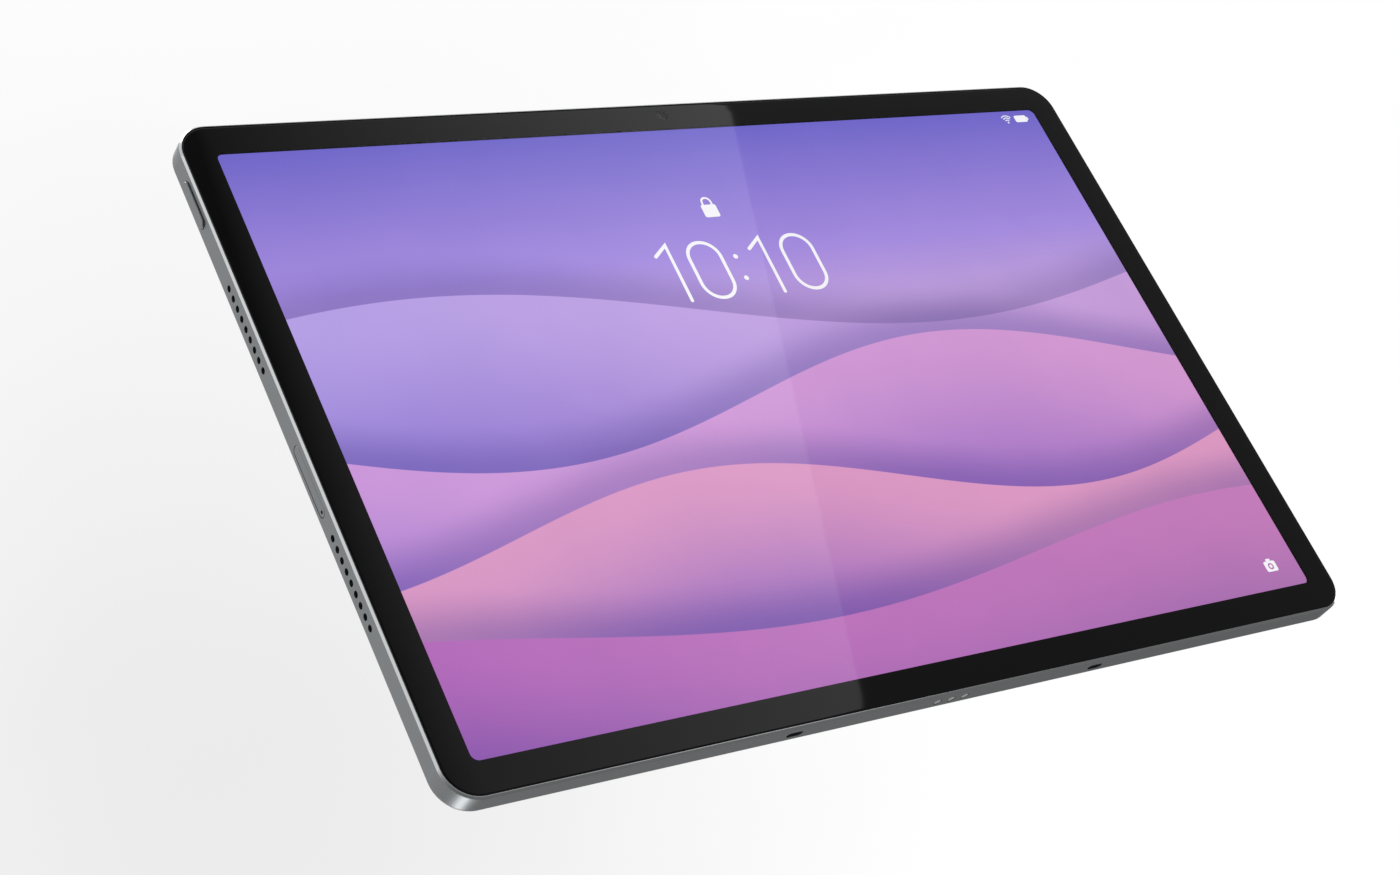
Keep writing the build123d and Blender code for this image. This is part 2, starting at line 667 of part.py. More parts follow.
# ---------------------------------------------------------------- card tray and reader
TRAY_BACK_X = -HALF_W + TRAY_FACE + TRAY_REACH
with BuildPart() as card_tray:
    with BuildSketch(side_plane(-HALF_W + TRAY_FACE)):
        with Locations((TRAY_Z, 0)):
            SlotOverall(TRAY_LENGTH, TRAY_T)
    extrude(amount=TRAY_FACE)
    chamfer(card_tray.faces().sort_by(Axis.X)[0].edges(), 0.1)
    with BuildSketch(side_plane(TRAY_BACK_X)):
        with Locations((TRAY_Z, 0)):
            Rectangle(TRAY_BODY_W, TRAY_BODY_T)
    extrude(amount=TRAY_REACH)
    # pocket for a memory card, open to the front
    with BuildSketch(face_plane(THICKNESS / 2 - TRAY_BODY_T / 2)):
        with Locations((TRAY_BACK_X - 9.2, TRAY_Z)):
            Rectangle(15.2, 11.2)
    extrude(amount=-0.8, mode=Mode.SUBTRACT)
    # hole for the eject pin
    with BuildSketch(side_plane(-HALF_W + TRAY_FACE)):
        with Locations((TRAY_Z - TRAY_LENGTH / 2 + TRAY_T / 2, 0)):
            Circle(PIN_HOLE_R)
    extrude(amount=TRAY_FACE, mode=Mode.SUBTRACT)
save(card_tray, "card_tray")

with BuildPart() as tray_seal:
    with BuildSketch(side_plane(-HALF_W + TRAY_FACE + 0.6)):
        with Locations((TRAY_Z, 0)):
            RectangleRounded(TRAY_BODY_W + 0.6, TRAY_BODY_T + 0.9, 0.4)
            Rectangle(TRAY_BODY_W, TRAY_BODY_T, mode=Mode.SUBTRACT)
    extrude(amount=0.6)
save(tray_seal, "tray_seal")

READER_GAP = 0.2
READER_WALL = 0.25
READER_FRONT_X = -INNER_X + 0.4
READER_BACK_X = TRAY_BACK_X + 0.6
with BuildPart() as card_reader:
    with BuildSketch(side_plane(READER_BACK_X)):
        with Locations((TRAY_Z, 0)):
            Rectangle(
                TRAY_BODY_W + 2 * READER_GAP + 2 * READER_WALL, TRAY_BODY_T + 2 * READER_GAP + 2 * READER_WALL
            )
    extrude(amount=READER_BACK_X - READER_FRONT_X)
    with BuildSketch(side_plane(READER_BACK_X - READER_WALL)):
        with Locations((TRAY_Z, 0)):
            Rectangle(TRAY_BODY_W + 2 * READER_GAP, TRAY_BODY_T + 2 * READER_GAP)
    extrude(amount=READER_BACK_X - READER_WALL - READER_FRONT_X, mode=Mode.SUBTRACT)
save(card_reader, "card_reader")

READER_BACK = THICKNESS / 2 + TRAY_BODY_T / 2 + READER_GAP + READER_WALL
card_board = slab(24, 24, 1, READER_BACK, READER_BACK + 0.6, (-129.5, TRAY_Z))
save(card_board, "card_board")

# ---------------------------------------------------------------- speakers
SPEAKER_BACK = FLOOR_DEPTH - 0.2
NOZZLE_L = 0.5
MESH_T = 0.2
speaker_places = {
    "speaker_upper_left": (-1, 1),
    "speaker_lower_left": (-1, -1),
    "speaker_upper_right": (1, 1),
    "speaker_lower_right": (1, -1),
}
for name, (side, level) in speaker_places.items():
    mouth_x = side * (INNER_X - MESH_T)
    body_edge = side * (INNER_X - MESH_T - NOZZLE_L)
    centre = (body_edge - side * SPEAKER_W / 2, level * SPEAKER_Z)
    with BuildPart() as speaker:
        add(slab(SPEAKER_W, SPEAKER_H, 1.5, BAY_FRONT, SPEAKER_BACK, centre).part)
        with BuildSketch(face_plane(BAY_FRONT)):
            with Locations(centre):
                SlotOverall(20, 13, rotation=90)
        extrude(amount=-0.4, mode=Mode.SUBTRACT)
        with BuildSketch(side_plane(max(mouth_x, body_edge))):
            with Locations((level * SPEAKER_Z, 0)):
                RectangleRounded(27.6, 2.8, 0.6)
        extrude(amount=NOZZLE_L)
    save(speaker, name)

with BuildPart() as speaker_meshes:
    for mesh_x in (-INNER_X + MESH_T, INNER_X):
        with BuildSketch(side_plane(mesh_x)):
            with Locations((-SPEAKER_Z, 0), (SPEAKER_Z, 0)):
                RectangleRounded(27.6, 2.8, 0.6)
        extrude(amount=MESH_T)
save(speaker_meshes, "speaker_meshes")

# ---------------------------------------------------------------- charging port
USB_FACE_X = HALF_W - 0.3
USB_END_X = USB_FACE_X - USB_LENGTH
with BuildPart() as usb_shell:
    with BuildSketch(side_plane(USB_FACE_X)):
        with Locations((0, behind(USB_DEPTH))):
            SlotOverall(USB_W, USB_T)
    extrude(amount=USB_LENGTH)
    with BuildSketch(side_plane(USB_FACE_X)):
        with Locations((0, behind(USB_DEPTH))):
            SlotOverall(USB_W - 2 * USB_WALL, USB_T - 2 * USB_WALL)
    extrude(amount=USB_LENGTH - 1.0, mode=Mode.SUBTRACT)
save(usb_shell, "usb_shell")

with BuildPart() as usb_tongue:
    with BuildSketch(side_plane(USB_FACE_X - 1.2)):
        with Locations((0, behind(USB_DEPTH))):
            RectangleRounded(6.7, 0.7, 0.2)
    extrude(amount=USB_LENGTH - 2.2)
save(usb_tongue, "usb_tongue")

usb_board = slab(17, 36, 1, USB_DEPTH - 0.4, USB_DEPTH + 0.4, (USB_END_X - 8.5, 0))
save(usb_board, "usb_board")

USB_BOARD_EDGE = USB_END_X - 17
usb_flex = ribbon(
    [(82, 60), (82, 66), (110, 66), (110, 10), (USB_BOARD_EDGE, 10), (USB_BOARD_EDGE, 4), (104, 4), (104, 60)],
    BOARD_FRONT - FLEX_T,
    BOARD_FRONT,
)
save(usb_flex, "usb_flex")

# ---------------------------------------------------------------- dock contacts and sockets
CONTACT_RECESS = 0.05
with BuildPart() as contact_carrier:
    with BuildSketch(level_plane(-INNER_Z)):
        RectangleRounded(4 * CONTACT_PITCH, 3.6, 0.8)
    extrude(amount=1.2)
    with BuildSketch(level_plane(-HALF_H + CONTACT_RECESS)):
        with GridLocations(CONTACT_PITCH, 1, 3, 1):
            Circle(CONTACT_SLEEVE_R)
    extrude(amount=WALL - CONTACT_RECESS)
    with BuildSketch(level_plane(-HALF_H)):
        with GridLocations(CONTACT_PITCH, 1, 3, 1):
            Circle(CONTACT_R)
    extrude(amount=WALL + 1.2, mode=Mode.SUBTRACT)
save(contact_carrier, "contact_carrier")

with BuildPart() as dock_contacts:
    with BuildSketch(level_plane(-HALF_H + CONTACT_RECESS)):
        with GridLocations(CONTACT_PITCH, 1, 3, 1):
            Circle(CONTACT_R)
    extrude(amount=WALL + 1.4)
save(dock_contacts, "dock_contacts")

with BuildPart() as dock_sockets:
    with BuildSketch(level_plane(-INNER_Z)):
        with Locations((-SOCKET_X, 0), (SOCKET_X, 0)):
            RectangleRounded(SOCKET_L + 1.6, SOCKET_T + 1.4, 1.0)
    extrude(amount=2.4)
    with BuildSketch(level_plane(-INNER_Z)):
        with Locations((-SOCKET_X, 0), (SOCKET_X, 0)):
            SlotOverall(SOCKET_L, SOCKET_T)
    extrude(amount=1.8, mode=Mode.SUBTRACT)
save(dock_sockets, "dock_sockets")

# ---------------------------------------------------------------- pen charging
with BuildPart() as pen_coil:
    with BuildSketch(face_plane(FLOOR_DEPTH)):
        with Locations((0, BAND_Z)):
            SlotOverall(36, 10)
            SlotOverall(28, 3, mode=Mode.SUBTRACT)
    extrude(amount=0.35)
save(pen_coil, "pen_coil")

with BuildPart() as pen_magnets:
    with BuildSketch(face_plane(FLOOR_DEPTH)):
        with Locations((-30, BAND_Z), (30, BAND_Z)):
            RectangleRounded(12, 5, 0.5)
    extrude(amount=0.7)
save(pen_magnets, "pen_magnets")

with BuildPart() as pen_mark:
    with BuildSketch(face_plane(THICKNESS)):
        with Locations((0, BAND_Z)):
            SlotOverall(MARK_LENGTH, MARK_T)
    extrude(amount=MARK_DEPTH)
save(pen_mark, "pen_mark")
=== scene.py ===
import math

import bmesh
import bpy
from mathutils import Matrix, Vector


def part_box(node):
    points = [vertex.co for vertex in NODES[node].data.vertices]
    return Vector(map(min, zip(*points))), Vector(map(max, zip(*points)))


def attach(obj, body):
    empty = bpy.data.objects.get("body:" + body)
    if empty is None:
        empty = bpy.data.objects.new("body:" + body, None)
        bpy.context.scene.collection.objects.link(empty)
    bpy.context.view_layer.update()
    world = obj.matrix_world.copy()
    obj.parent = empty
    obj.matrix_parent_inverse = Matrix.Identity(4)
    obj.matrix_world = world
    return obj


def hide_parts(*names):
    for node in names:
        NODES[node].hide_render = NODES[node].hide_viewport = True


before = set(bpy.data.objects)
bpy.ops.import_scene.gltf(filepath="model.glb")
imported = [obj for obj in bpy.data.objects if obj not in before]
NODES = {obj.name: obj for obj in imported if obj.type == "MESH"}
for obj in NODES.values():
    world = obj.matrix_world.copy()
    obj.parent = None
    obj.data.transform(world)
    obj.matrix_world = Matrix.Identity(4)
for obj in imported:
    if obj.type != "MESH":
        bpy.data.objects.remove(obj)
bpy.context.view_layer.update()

# A tablet computer's looks. Metres, in the row frame: the tablet stands on its long lower edge,
# +X is to the right seen from the front, +Z is up and the screen faces -Y. A depth is counted
# back from the glass face, and a place on a face is (x, z).
MM = 0.001
MICRON = 0.000001


# ================================================================ places, read from the frame
def middle(node):
    """The centre of a CAD node's box."""
    low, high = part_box(node)
    return (low + high) / 2


def face_centre(node):
    """The centre of a CAD node as a place on the front or back face."""
    centre = middle(node)
    return centre.x, centre.z


GLASS_LOW, GLASS_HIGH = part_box("cover_glass")
HOUSING_LOW, HOUSING_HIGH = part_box("rear_housing")
CENTRE_Z = (HOUSING_LOW.z + HOUSING_HIGH.z) / 2
GLASS_Y = GLASS_LOW.y
BACK_Y = HOUSING_HIGH.y


def at_depth(depth):
    """The y of a depth behind the glass face."""
    return GLASS_Y + depth


# ================================================================ mesh helpers
SMOOTH_ANGLE = math.radians(32)


def finish_mesh(bm, name, body, materials):
    """Turns a bmesh into a piece that rides on a body and takes its finish from a slot."""
    bmesh.ops.recalc_face_normals(bm, faces=bm.faces)
    for face in bm.faces:
        face.smooth = True
    for edge in bm.edges:
        if len(edge.link_faces) == 2 and edge.calc_face_angle(0.0) > SMOOTH_ANGLE:
            edge.smooth = False
    mesh = bpy.data.meshes.new(name)
    bm.to_mesh(mesh)
    bm.free()
    for material in materials:
        mesh.materials.append(material)
    piece = bpy.data.objects.new(name, mesh)
    bpy.context.scene.collection.objects.link(piece)
    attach(piece, body)
    return piece


def arc(centre, radius, start, end, steps):
    """Points along an arc in the plane of a face, the angles in degrees from +X towards +Z."""
    points = []
    for i in range(steps + 1):
        angle = math.radians(start + (end - start) * i / steps)
        points.append((centre[0] + radius * math.cos(angle), centre[1] + radius * math.sin(angle)))
    return points


def circle(centre, radius, steps):
    """A closed circle of points on a face."""
    return arc(centre, radius, 0, 360, steps)[:-1]


def rounded_outline(width, height, radius, centre, steps=16):
    """A closed rounded rectangle of points on a face."""
    across = width / 2 - radius
    up = height / 2 - radius
    points = []
    for quarter, (side, level) in enumerate(((1, 1), (-1, 1), (-1, -1), (1, -1))):
        corner = (centre[0] + side * across, centre[1] + level * up)
        points += arc(corner, radius, 90 * quarter, 90 * quarter + 90, steps)
    return points


def loop_at(bm, outline, y):
    """Vertices along an outline at one depth."""
    return [bm.verts.new((x, y, z)) for x, z in outline]


def wall(bm, first, second, material=0):
    """Quads between two closed loops of vertices of the same length."""
    for i in range(len(first)):
        j = (i + 1) % len(first)
        bm.faces.new((first[i], first[j], second[j], second[i])).material_index = material


def cap(bm, loops, material=0):
    """Fills a flat face whose outline, and whose holes, are closed loops of vertices."""
    edges = []
    for loop in loops:
        for i, vertex in enumerate(loop):
            pair = (vertex, loop[(i + 1) % len(loop)])
            edges.append(bm.edges.get(pair) or bm.edges.new(pair))
    made = bmesh.ops.triangle_fill(bm, use_beauty=True, use_dissolve=False, edges=edges)
    for item in made["geom"]:
        if isinstance(item, bmesh.types.BMFace):
            item.material_index = material


def slab(bm, outline, front, back, material=0):
    """A closed flat plate between two y values, its outline given on a face."""
    near = loop_at(bm, outline, front)
    far = loop_at(bm, outline, back)
    wall(bm, near, far, material)
    cap(bm, [near], material)
    cap(bm, [far], material)


def turned(bm, centre, profile, steps=96):
    """Revolves (radius, y, material) points about a line along Y. Profiles are closed unless they
    start and end on the axis. A face takes the material of the point it starts from."""
    rings = []
    for radius, y, _ in profile:
        if radius == 0:
            rings.append([bm.verts.new((centre[0], y, centre[1]))])
        else:
            rings.append(loop_at(bm, circle(centre, radius, steps), y))
    closed = profile[0][0] != 0
    for i in range(len(rings) - (0 if closed else 1)):
        first, second = rings[i], rings[(i + 1) % len(rings)]
        material = profile[i][2]
        if len(first) > 1 and len(second) > 1:
            wall(bm, first, second, material)
            continue
        tip, ring = (first, second) if len(first) == 1 else (second, first)
        for k in range(len(ring)):
            face = bm.faces.new((tip[0], ring[k], ring[(k + 1) % len(ring)]))
            face.material_index = material


# ================================================================ material helpers
def tone(code, strength=1.0):
    """A colour written as a web code, as linear RGBA."""
    channels = []
    for i in (1, 3, 5):
        value = int(code[i:i + 2], 16) / 255
        linear = value / 12.92 if value <= 0.04045 else ((value + 0.055) / 1.055) ** 2.4
        channels.append(linear * strength)
    return (*channels, 1.0)


class Shader:
    """A node material as it is built. Each call adds one node and gives back its output."""

    def __init__(self, name):
        self.material = bpy.data.materials.new(name)
        self.material.use_nodes = True
        self.tree = self.material.node_tree
        self.tree.nodes.clear()
        self.end = self.tree.nodes.new("ShaderNodeOutputMaterial")
        self.place = self.add("TexCoord", output="Object")

    def add(self, kind, inputs=None, output=0, **settings):
        made = self.tree.nodes.new("ShaderNode" + kind)
        for key, value in settings.items():
            setattr(made, key, value)
        for key, value in (inputs or {}).items():
            if isinstance(value, bpy.types.NodeSocket):
                self.tree.links.new(value, made.inputs[key])
            else:
                made.inputs[key].default_value = value
        return made.outputs[output]

    def math(self, operation, a, b=0.0, c=0.0):
        return self.add("Math", {0: a, 1: b, 2: c}, operation=operation)

    def noise(self, size, detail=3.0, place=None):
        """Noise from 0 to 1 whose blobs are about this size in metres."""
        inputs = {"Vector": place or self.place, "Scale": 1 / size, "Detail": detail}
        return self.add("TexNoise", inputs)

    def remap(self, value, low, high, to_low=0.0, to_high=1.0, smooth=False):
        inputs = {"Value": value, "From Min": low, "From Max": high, "To Min": to_low, "To Max": to_high}
        kind = "SMOOTHSTEP" if smooth else "LINEAR"
        return self.add("MapRange", inputs, interpolation_type=kind)

    def mix(self, factor, first, second, blend="MIX"):
        inputs = {0: factor, 6: first, 7: second}
        return self.add("Mix", inputs, output=2, data_type="RGBA", blend_type=blend)

    def ramp(self, factor, stops):
        """A colour ramp given as (position, colour) pairs."""
        made = self.tree.nodes.new("ShaderNodeValToRGB")
        elements = made.color_ramp.elements
        while len(elements) < len(stops):
            elements.new(0.5)
        for element, (position, colour) in zip(elements, stops):
            element.position = position
            element.color = colour
        self.tree.links.new(factor, made.inputs[0])
        return made.outputs[0]

    def axis(self, name):
        """One object coordinate, in metres."""
        return self.add("SeparateXYZ", {0: self.place}, output=name)

    def from_axis(self, node):
        """How far a point is from the line along Y through a node's middle."""
        x, z = face_centre(node)
        shifted = self.add("VectorMath", {0: self.place, 1: (x, 0, z)}, operation="SUBTRACT")
        flat = self.add("VectorMath", {0: shifted, 1: (1, 0, 1)}, operation="MULTIPLY")
        return self.add("VectorMath", {0: flat}, output="Value", operation="LENGTH")

    def bump(self, height, distance, strength=1.0):
        inputs = {"Height": height, "Distance": distance, "Strength": strength}
        return self.add("Bump", inputs)

    def surface(self, **inputs):
        """The finished material, with these inputs to its principled shader."""
        named = {key.replace("_", " "): value for key, value in inputs.items()}
        return self.done(self.add("BsdfPrincipled", named))

    def done(self, surface):
        self.tree.links.new(surface, self.end.inputs["Surface"])
        return self.material


# ================================================================ materials
def anodised(name, colour, polished_before=None, groove_back=None):
    """Fine bead-blasted, anodised aluminium. The rim before polished_before (a y) is diamond cut
    and bright. Below groove_back the ribbed band's grooves get painted shade, darker the deeper they go, and
    the crests are painted a little lighter."""
    s = Shader(name)
    grain = s.noise(0.22 * MM, 2.0)
    cloud = s.noise(28 * MM, 2.0)
    fleck = s.remap(grain, 0.3, 0.7, 0.92, 1.06)
    shade = s.math("MULTIPLY", fleck, s.remap(cloud, 0.3, 0.7, 0.985, 1.015))
    if groove_back is not None:
        # painted shade: the colour darkens with depth in the grooves and lightens a little on the crests
        deep = s.remap(s.axis("Y"), groove_back - RIB_DEPTH, groove_back, 0.30, 1.25)
        shade = s.math("MULTIPLY", shade, deep)
    base = s.mix(1.0, colour, s.add("CombineColor", {0: shade, 1: shade, 2: shade}), "MULTIPLY")
    rough = s.remap(grain, 0.3, 0.7, 0.36, 0.46)
    if polished_before is not None:
        bright = s.math("LESS_THAN", s.axis("Y"), polished_before)
        base = s.mix(bright, base, tone("#e4e7e8"))
        rough = s.math("SUBTRACT", rough, s.math("MULTIPLY", bright, 0.22))
    return s.surface(
        Base_Color=base, Metallic=1.0, Roughness=rough, Normal=s.bump(grain, 3 * MICRON, 0.5),
    )


def black_print():
    """Glass over a black printed border."""
    s = Shader("black_print")
    film = s.noise(9 * MM, 4.0)
    return s.surface(
        Base_Color=s.ramp(film, [(0.3, tone("#070708")), (0.7, tone("#0c0c0d"))]),
        Roughness=s.remap(film, 0.3, 0.7, 0.018, 0.030),
        IOR=1.5,
    )


def clear_glass(name, tint, gloss, least_share):
    """Thin clear glass: what is behind it shows, under a reflection that grows edgeways."""
    s = Shader(name)
    film = s.noise(12 * MM, 3.0)
    shine = s.add("BsdfGlossy", {
        "Color": s.ramp(film, [(0.3, tone("#f4f6ff")), (0.7, tone("#ffffff"))]),
        "Roughness": s.remap(film, 0.3, 0.7, gloss, gloss * 1.6),
    })
    through = s.add("BsdfTransparent", {"Color": tint})
    edgeways = s.math("POWER", s.add("LayerWeight", {"Blend": 0.5}, output="Facing"), 5.0)
    share = s.math("MULTIPLY_ADD", edgeways, 0.94, least_share)
    return s.done(s.add("MixShader", {0: share, 1: through, 2: shine}))


def inner_glass():
    """The bonded inner face of the cover glass, which gives no reflection of its own."""
    s = Shader("inner_glass")
    film = s.noise(20 * MM, 2.0)
    tint = s.ramp(film, [(0.3, tone("#fbfcfd")), (0.7, tone("#ffffff"))])
    return s.done(s.add("BsdfTransparent", {"Color": tint}))


def moulded(name, low, high, roughness, grain_size=0.3 * MM):
    """Moulded plastic or rubber with a fine spark-eroded grain."""
    s = Shader(name)
    grain = s.noise(grain_size, 3.0)
    wash = s.noise(9 * MM, 2.0)
    mixed = s.math("ADD", s.math("MULTIPLY", grain, 0.6), s.math("MULTIPLY", wash, 0.4))
    return s.surface(
        Base_Color=s.ramp(mixed, [(0.35, low), (0.65, high)]),
        Roughness=s.remap(grain, 0.3, 0.7, roughness - 0.06, roughness + 0.08),
        Normal=s.bump(grain, 8 * MICRON, 0.5),
    )


def bare_metal(name, low, high, roughness, stretch=(1, 1, 18)):
    """Rolled or drawn metal, brushed along one axis."""
    s = Shader(name)
    drawn = s.add("Mapping", {"Vector": s.place, "Scale": tuple(1 / k for k in stretch)})
    lines = s.noise(0.12 * MM, 2.0, drawn)
    wash = s.noise(6 * MM, 3.0)
    mixed = s.math("ADD", s.math("MULTIPLY", lines, 0.6), s.math("MULTIPLY", wash, 0.4))
    return s.surface(
        Base_Color=s.ramp(mixed, [(0.35, low), (0.65, high)]),
        Metallic=1.0,
        Roughness=s.remap(lines, 0.3, 0.7, roughness - 0.05, roughness + 0.07),
        Normal=s.bump(lines, 2 * MICRON, 0.5),
    )


def circuit_board():
    """Dark green solder mask with copper runs and small pads."""
    s = Shader("circuit_board")
    cells = s.add("TexVoronoi", {"Vector": s.place, "Scale": 1 / (1.6 * MM)}, distance="CHEBYCHEV")
    runs = s.add("TexBrick", {
        "Vector": s.add("Mapping", {"Vector": s.place, "Rotation": (math.pi / 2, 0, 0)}),
        "Scale": 1 / (2.4 * MM), "Mortar Size": 0.06, "Brick Width": 1.7, "Row Height": 0.4,
        "Color1": tone("#0d2a1c"), "Color2": tone("#123624"), "Mortar": tone("#2c5a3c"),
    })
    pad = s.math("LESS_THAN", cells, 0.12)
    return s.surface(
        Base_Color=s.mix(pad, runs, tone("#b9934c")),
        Roughness=s.remap(cells, 0.0, 0.6, 0.3, 0.5),
        Normal=s.bump(cells, 10 * MICRON, 0.3),
    )


def flexible_circuit():
    """Amber polyimide with fine copper tracks."""
    s = Shader("flexible_circuit")
    tracks = s.add("TexWave", {"Vector": s.place, "Scale": 1 / (3 * MM), "Distortion": 0.6})
    film = s.noise(4 * MM, 3.0)
    base = s.ramp(tracks, [(0.35, tone("#4a2a0c")), (0.6, tone("#9a6424"))])
    return s.surface(
        Base_Color=s.mix(s.remap(film, 0.3, 0.7, 0.0, 0.35), base, tone("#20170e")),
        Roughness=s.remap(film, 0.3, 0.7, 0.3, 0.45),
    )


def battery_foil():
    """Dark laminated foil, slightly wrinkled."""
    s = Shader("battery_foil")
    wrinkle = s.noise(7 * MM, 5.0)
    return s.surface(
        Base_Color=s.ramp(wrinkle, [(0.35, tone("#1b1c1f")), (0.7, tone("#303237"))]),
        Metallic=0.6,
        Roughness=s.remap(wrinkle, 0.3, 0.7, 0.34, 0.5),
        Normal=s.bump(wrinkle, 60 * MICRON, 0.6),
    )


def speaker_cloth():
    """Fine black woven mesh behind the speaker holes."""
    s = Shader("speaker_cloth")
    holes = s.add("TexVoronoi", {"Vector": s.place, "Scale": 1 / (0.16 * MM), "Randomness": 0.1})
    return s.surface(
        Base_Color=s.ramp(holes, [(0.15, tone("#020202")), (0.6, tone("#141414"))]),
        Roughness=s.remap(holes, 0.0, 0.6, 0.6, 0.85),
        Normal=s.bump(holes, 20 * MICRON, 0.6),
    )


def camera_glazing_painted_sheen():
    """Mirror-backed grey glass with a painted sheen: lighter in the middle, darker towards its edges."""
    s = Shader("camera_glazing_painted_sheen")
    x, z = face_centre("camera_plate")
    low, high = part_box("camera_plate")
    half = (high - low) / 2
    inputs = {"Vector": s.place, "Location": (x, low.y, z), "Scale": (half.x, 1, half.z)}
    spread = s.add("Mapping", inputs, vector_type="TEXTURE")
    away = s.add("VectorMath", {0: spread}, output="Value", operation="LENGTH")
    mist = s.noise(5 * MM, 3.0)
    # painted sheen: the colour is lightest in the middle of the plate and darkens towards its edges
    depth = s.math("MULTIPLY_ADD", mist, 0.12, s.math("MULTIPLY", away, 0.7))
    return s.surface(
        Base_Color=s.ramp(depth, [(0.0, tone("#c6c8cb")), (0.8, tone("#a6a8ab")), (1.3, tone("#808285"))]),
        Metallic=0.8,
        Roughness=s.remap(mist, 0.3, 0.7, 0.16, 0.22),
        Coat_Weight=1.0,
        Coat_Roughness=0.03,
    )


def lens_coating(name, inner, outer, node, radius):
    """Coated optical glass over black: a faint colour that turns towards the rim."""
    s = Shader(name)
    ring = s.remap(s.from_axis(node), 0.0, radius)
    bloom = s.math("ADD", ring, s.math("MULTIPLY", s.noise(1.5 * MM, 2.0), 0.15))
    return s.surface(
        Base_Color=s.ramp(bloom, [(0.0, inner), (0.55, outer), (1.0, tone("#050506"))]),
        Roughness=s.remap(bloom, 0.0, 1.0, 0.03, 0.06),
        Coat_Weight=1.0,
        Coat_Roughness=0.02,
    )


def glowing(name, centre_colour, edge_colour, node, radius, strength):
    """A small light source, or its phosphor, given a painted glow that is brighter in the middle."""
    s = Shader(name)
    ring = s.remap(s.from_axis(node), 0.0, radius)
    colour = s.ramp(ring, [(0.3, centre_colour), (0.6, edge_colour), (0.9, tone("#77786c"))])
    # painted glow: the surface gives off light of its own, strongest in the middle
    return s.surface(
        Base_Color=colour,
        Emission_Color=colour,
        Emission_Strength=strength,
        Roughness=s.remap(s.noise(0.2 * MM), 0.3, 0.7, 0.25, 0.45),
        Normal=s.bump(s.noise(0.15 * MM), 10 * MICRON, 0.5),
    )


def lit_white():
    """The white of the screen's figures, with the faint grid of its dots."""
    s = Shader("lit_white")
    dots = s.noise(0.1 * MM, 1.0)
    white = s.ramp(dots, [(0.3, tone("#f6f3fb")), (0.7, tone("#ffffff"))])
    return s.done(s.add("Emission", {"Color": white}))


# ---------------------------------------------------------------- the screen's picture
# The builder's own picture: low rolling waves, one before the other. A wave is given by the height
# of its middle line over the middle of the screen, the height and the length of its swell, the
# degrees at which the swell starts, and its tones at the crest and in the depth.
WAVES = [
    (26 * MM, 12 * MM, 330 * MM, 200, "#b9a2ea", "#9079d6"),
    (-2 * MM, 13 * MM, 270 * MM, 20, "#cf9ade", "#8765cb"),
    (-32 * MM, 11 * MM, 240 * MM, 150, "#dd9ac8", "#7b56be"),
    (-60 * MM, 8 * MM, 300 * MM, 300, "#b76bbd", "#5b43a4"),
]
WAVE_DEPTH = 58 * MM             # a wave has its deep tone this far below its crest
WAVE_SHADE = 15 * MM             # it shades what lies behind it up to this height over its crest
WAVE_EDGE = 0.2 * MM
SHADE_TONE = tone("#4a3a94")
WARM_TONE = tone("#e79cc0")
SCREEN_HALF = 137 * MM           # half the screen's width
SKY_RISE = 86 * MM               # half its height


def picture_sky(s):
    """Violet at the top of the screen, paler and warmer down to the first wave."""
    upward = s.remap(s.axis("Z"), CENTRE_Z, CENTRE_Z + SKY_RISE)
    return s.ramp(upward, [(0.0, tone("#dcb4dc")), (0.5, tone("#a78de2")), (1.0, tone("#6f66cb"))])


def add_wave(s, under, wave):
    """One wave over what is painted so far, with a soft shade above its crest."""
    line, swell, length, start, crest_tone, deep_tone = wave
    turn = s.math("MULTIPLY_ADD", s.axis("X"), 2 * math.pi / length, math.radians(start))
    crest = s.math("MULTIPLY_ADD", s.math("SINE", turn), swell, CENTRE_Z + line)
    depth = s.math("SUBTRACT", crest, s.axis("Z"))
    shade = s.remap(depth, -WAVE_SHADE, 0.0, 0.0, 0.4, smooth=True)
    shaded = s.mix(shade, under, SHADE_TONE)
    fall = s.remap(depth, 0.0, WAVE_DEPTH, smooth=True)
    body = s.ramp(fall, [(0.0, tone(crest_tone)), (1.0, tone(deep_tone))])
    warmth = s.remap(s.axis("X"), -SCREEN_HALF, SCREEN_HALF, 0.0, 0.35)
    return s.mix(s.remap(depth, 0.0, WAVE_EDGE), shaded, s.mix(warmth, body, WARM_TONE))


def screen_picture_material():
    """Four waves in front of a violet ground."""
    s = Shader("screen_picture")
    picture = picture_sky(s)
    for wave in WAVES:
        picture = add_wave(s, picture, wave)
    return s.done(s.add("Emission", {"Color": picture}))


# ================================================================ front: glass and screen
ACTIVE_W = 273.6 * MM
ACTIVE_H = 171.0 * MM
ACTIVE_R = 2.0 * MM
GLASS_CORNER = 8.2 * MM
GLASS_CURVE = 0.55 * MM          # the front face rolls off over this width at its edge
GLASS_CURVE_DEPTH = 0.24 * MM
GLASS_T = 0.7 * MM
WINDOW_BACK = 0.55 * MM
PICTURE_FRONT = 0.60 * MM
CAMERA_WINDOW_R = 1.8 * MM
CURVE_STEPS = 6


def glass_outline(inset):
    """The glass outline, drawn in by an inset."""
    width = GLASS_HIGH.x - GLASS_LOW.x - 2 * inset
    height = GLASS_HIGH.z - GLASS_LOW.z - 2 * inset
    return rounded_outline(width, height, GLASS_CORNER - inset, (0, CENTRE_Z), 24)


def window_outline():
    return rounded_outline(ACTIVE_W, ACTIVE_H, ACTIVE_R, (0, CENTRE_Z), 8)


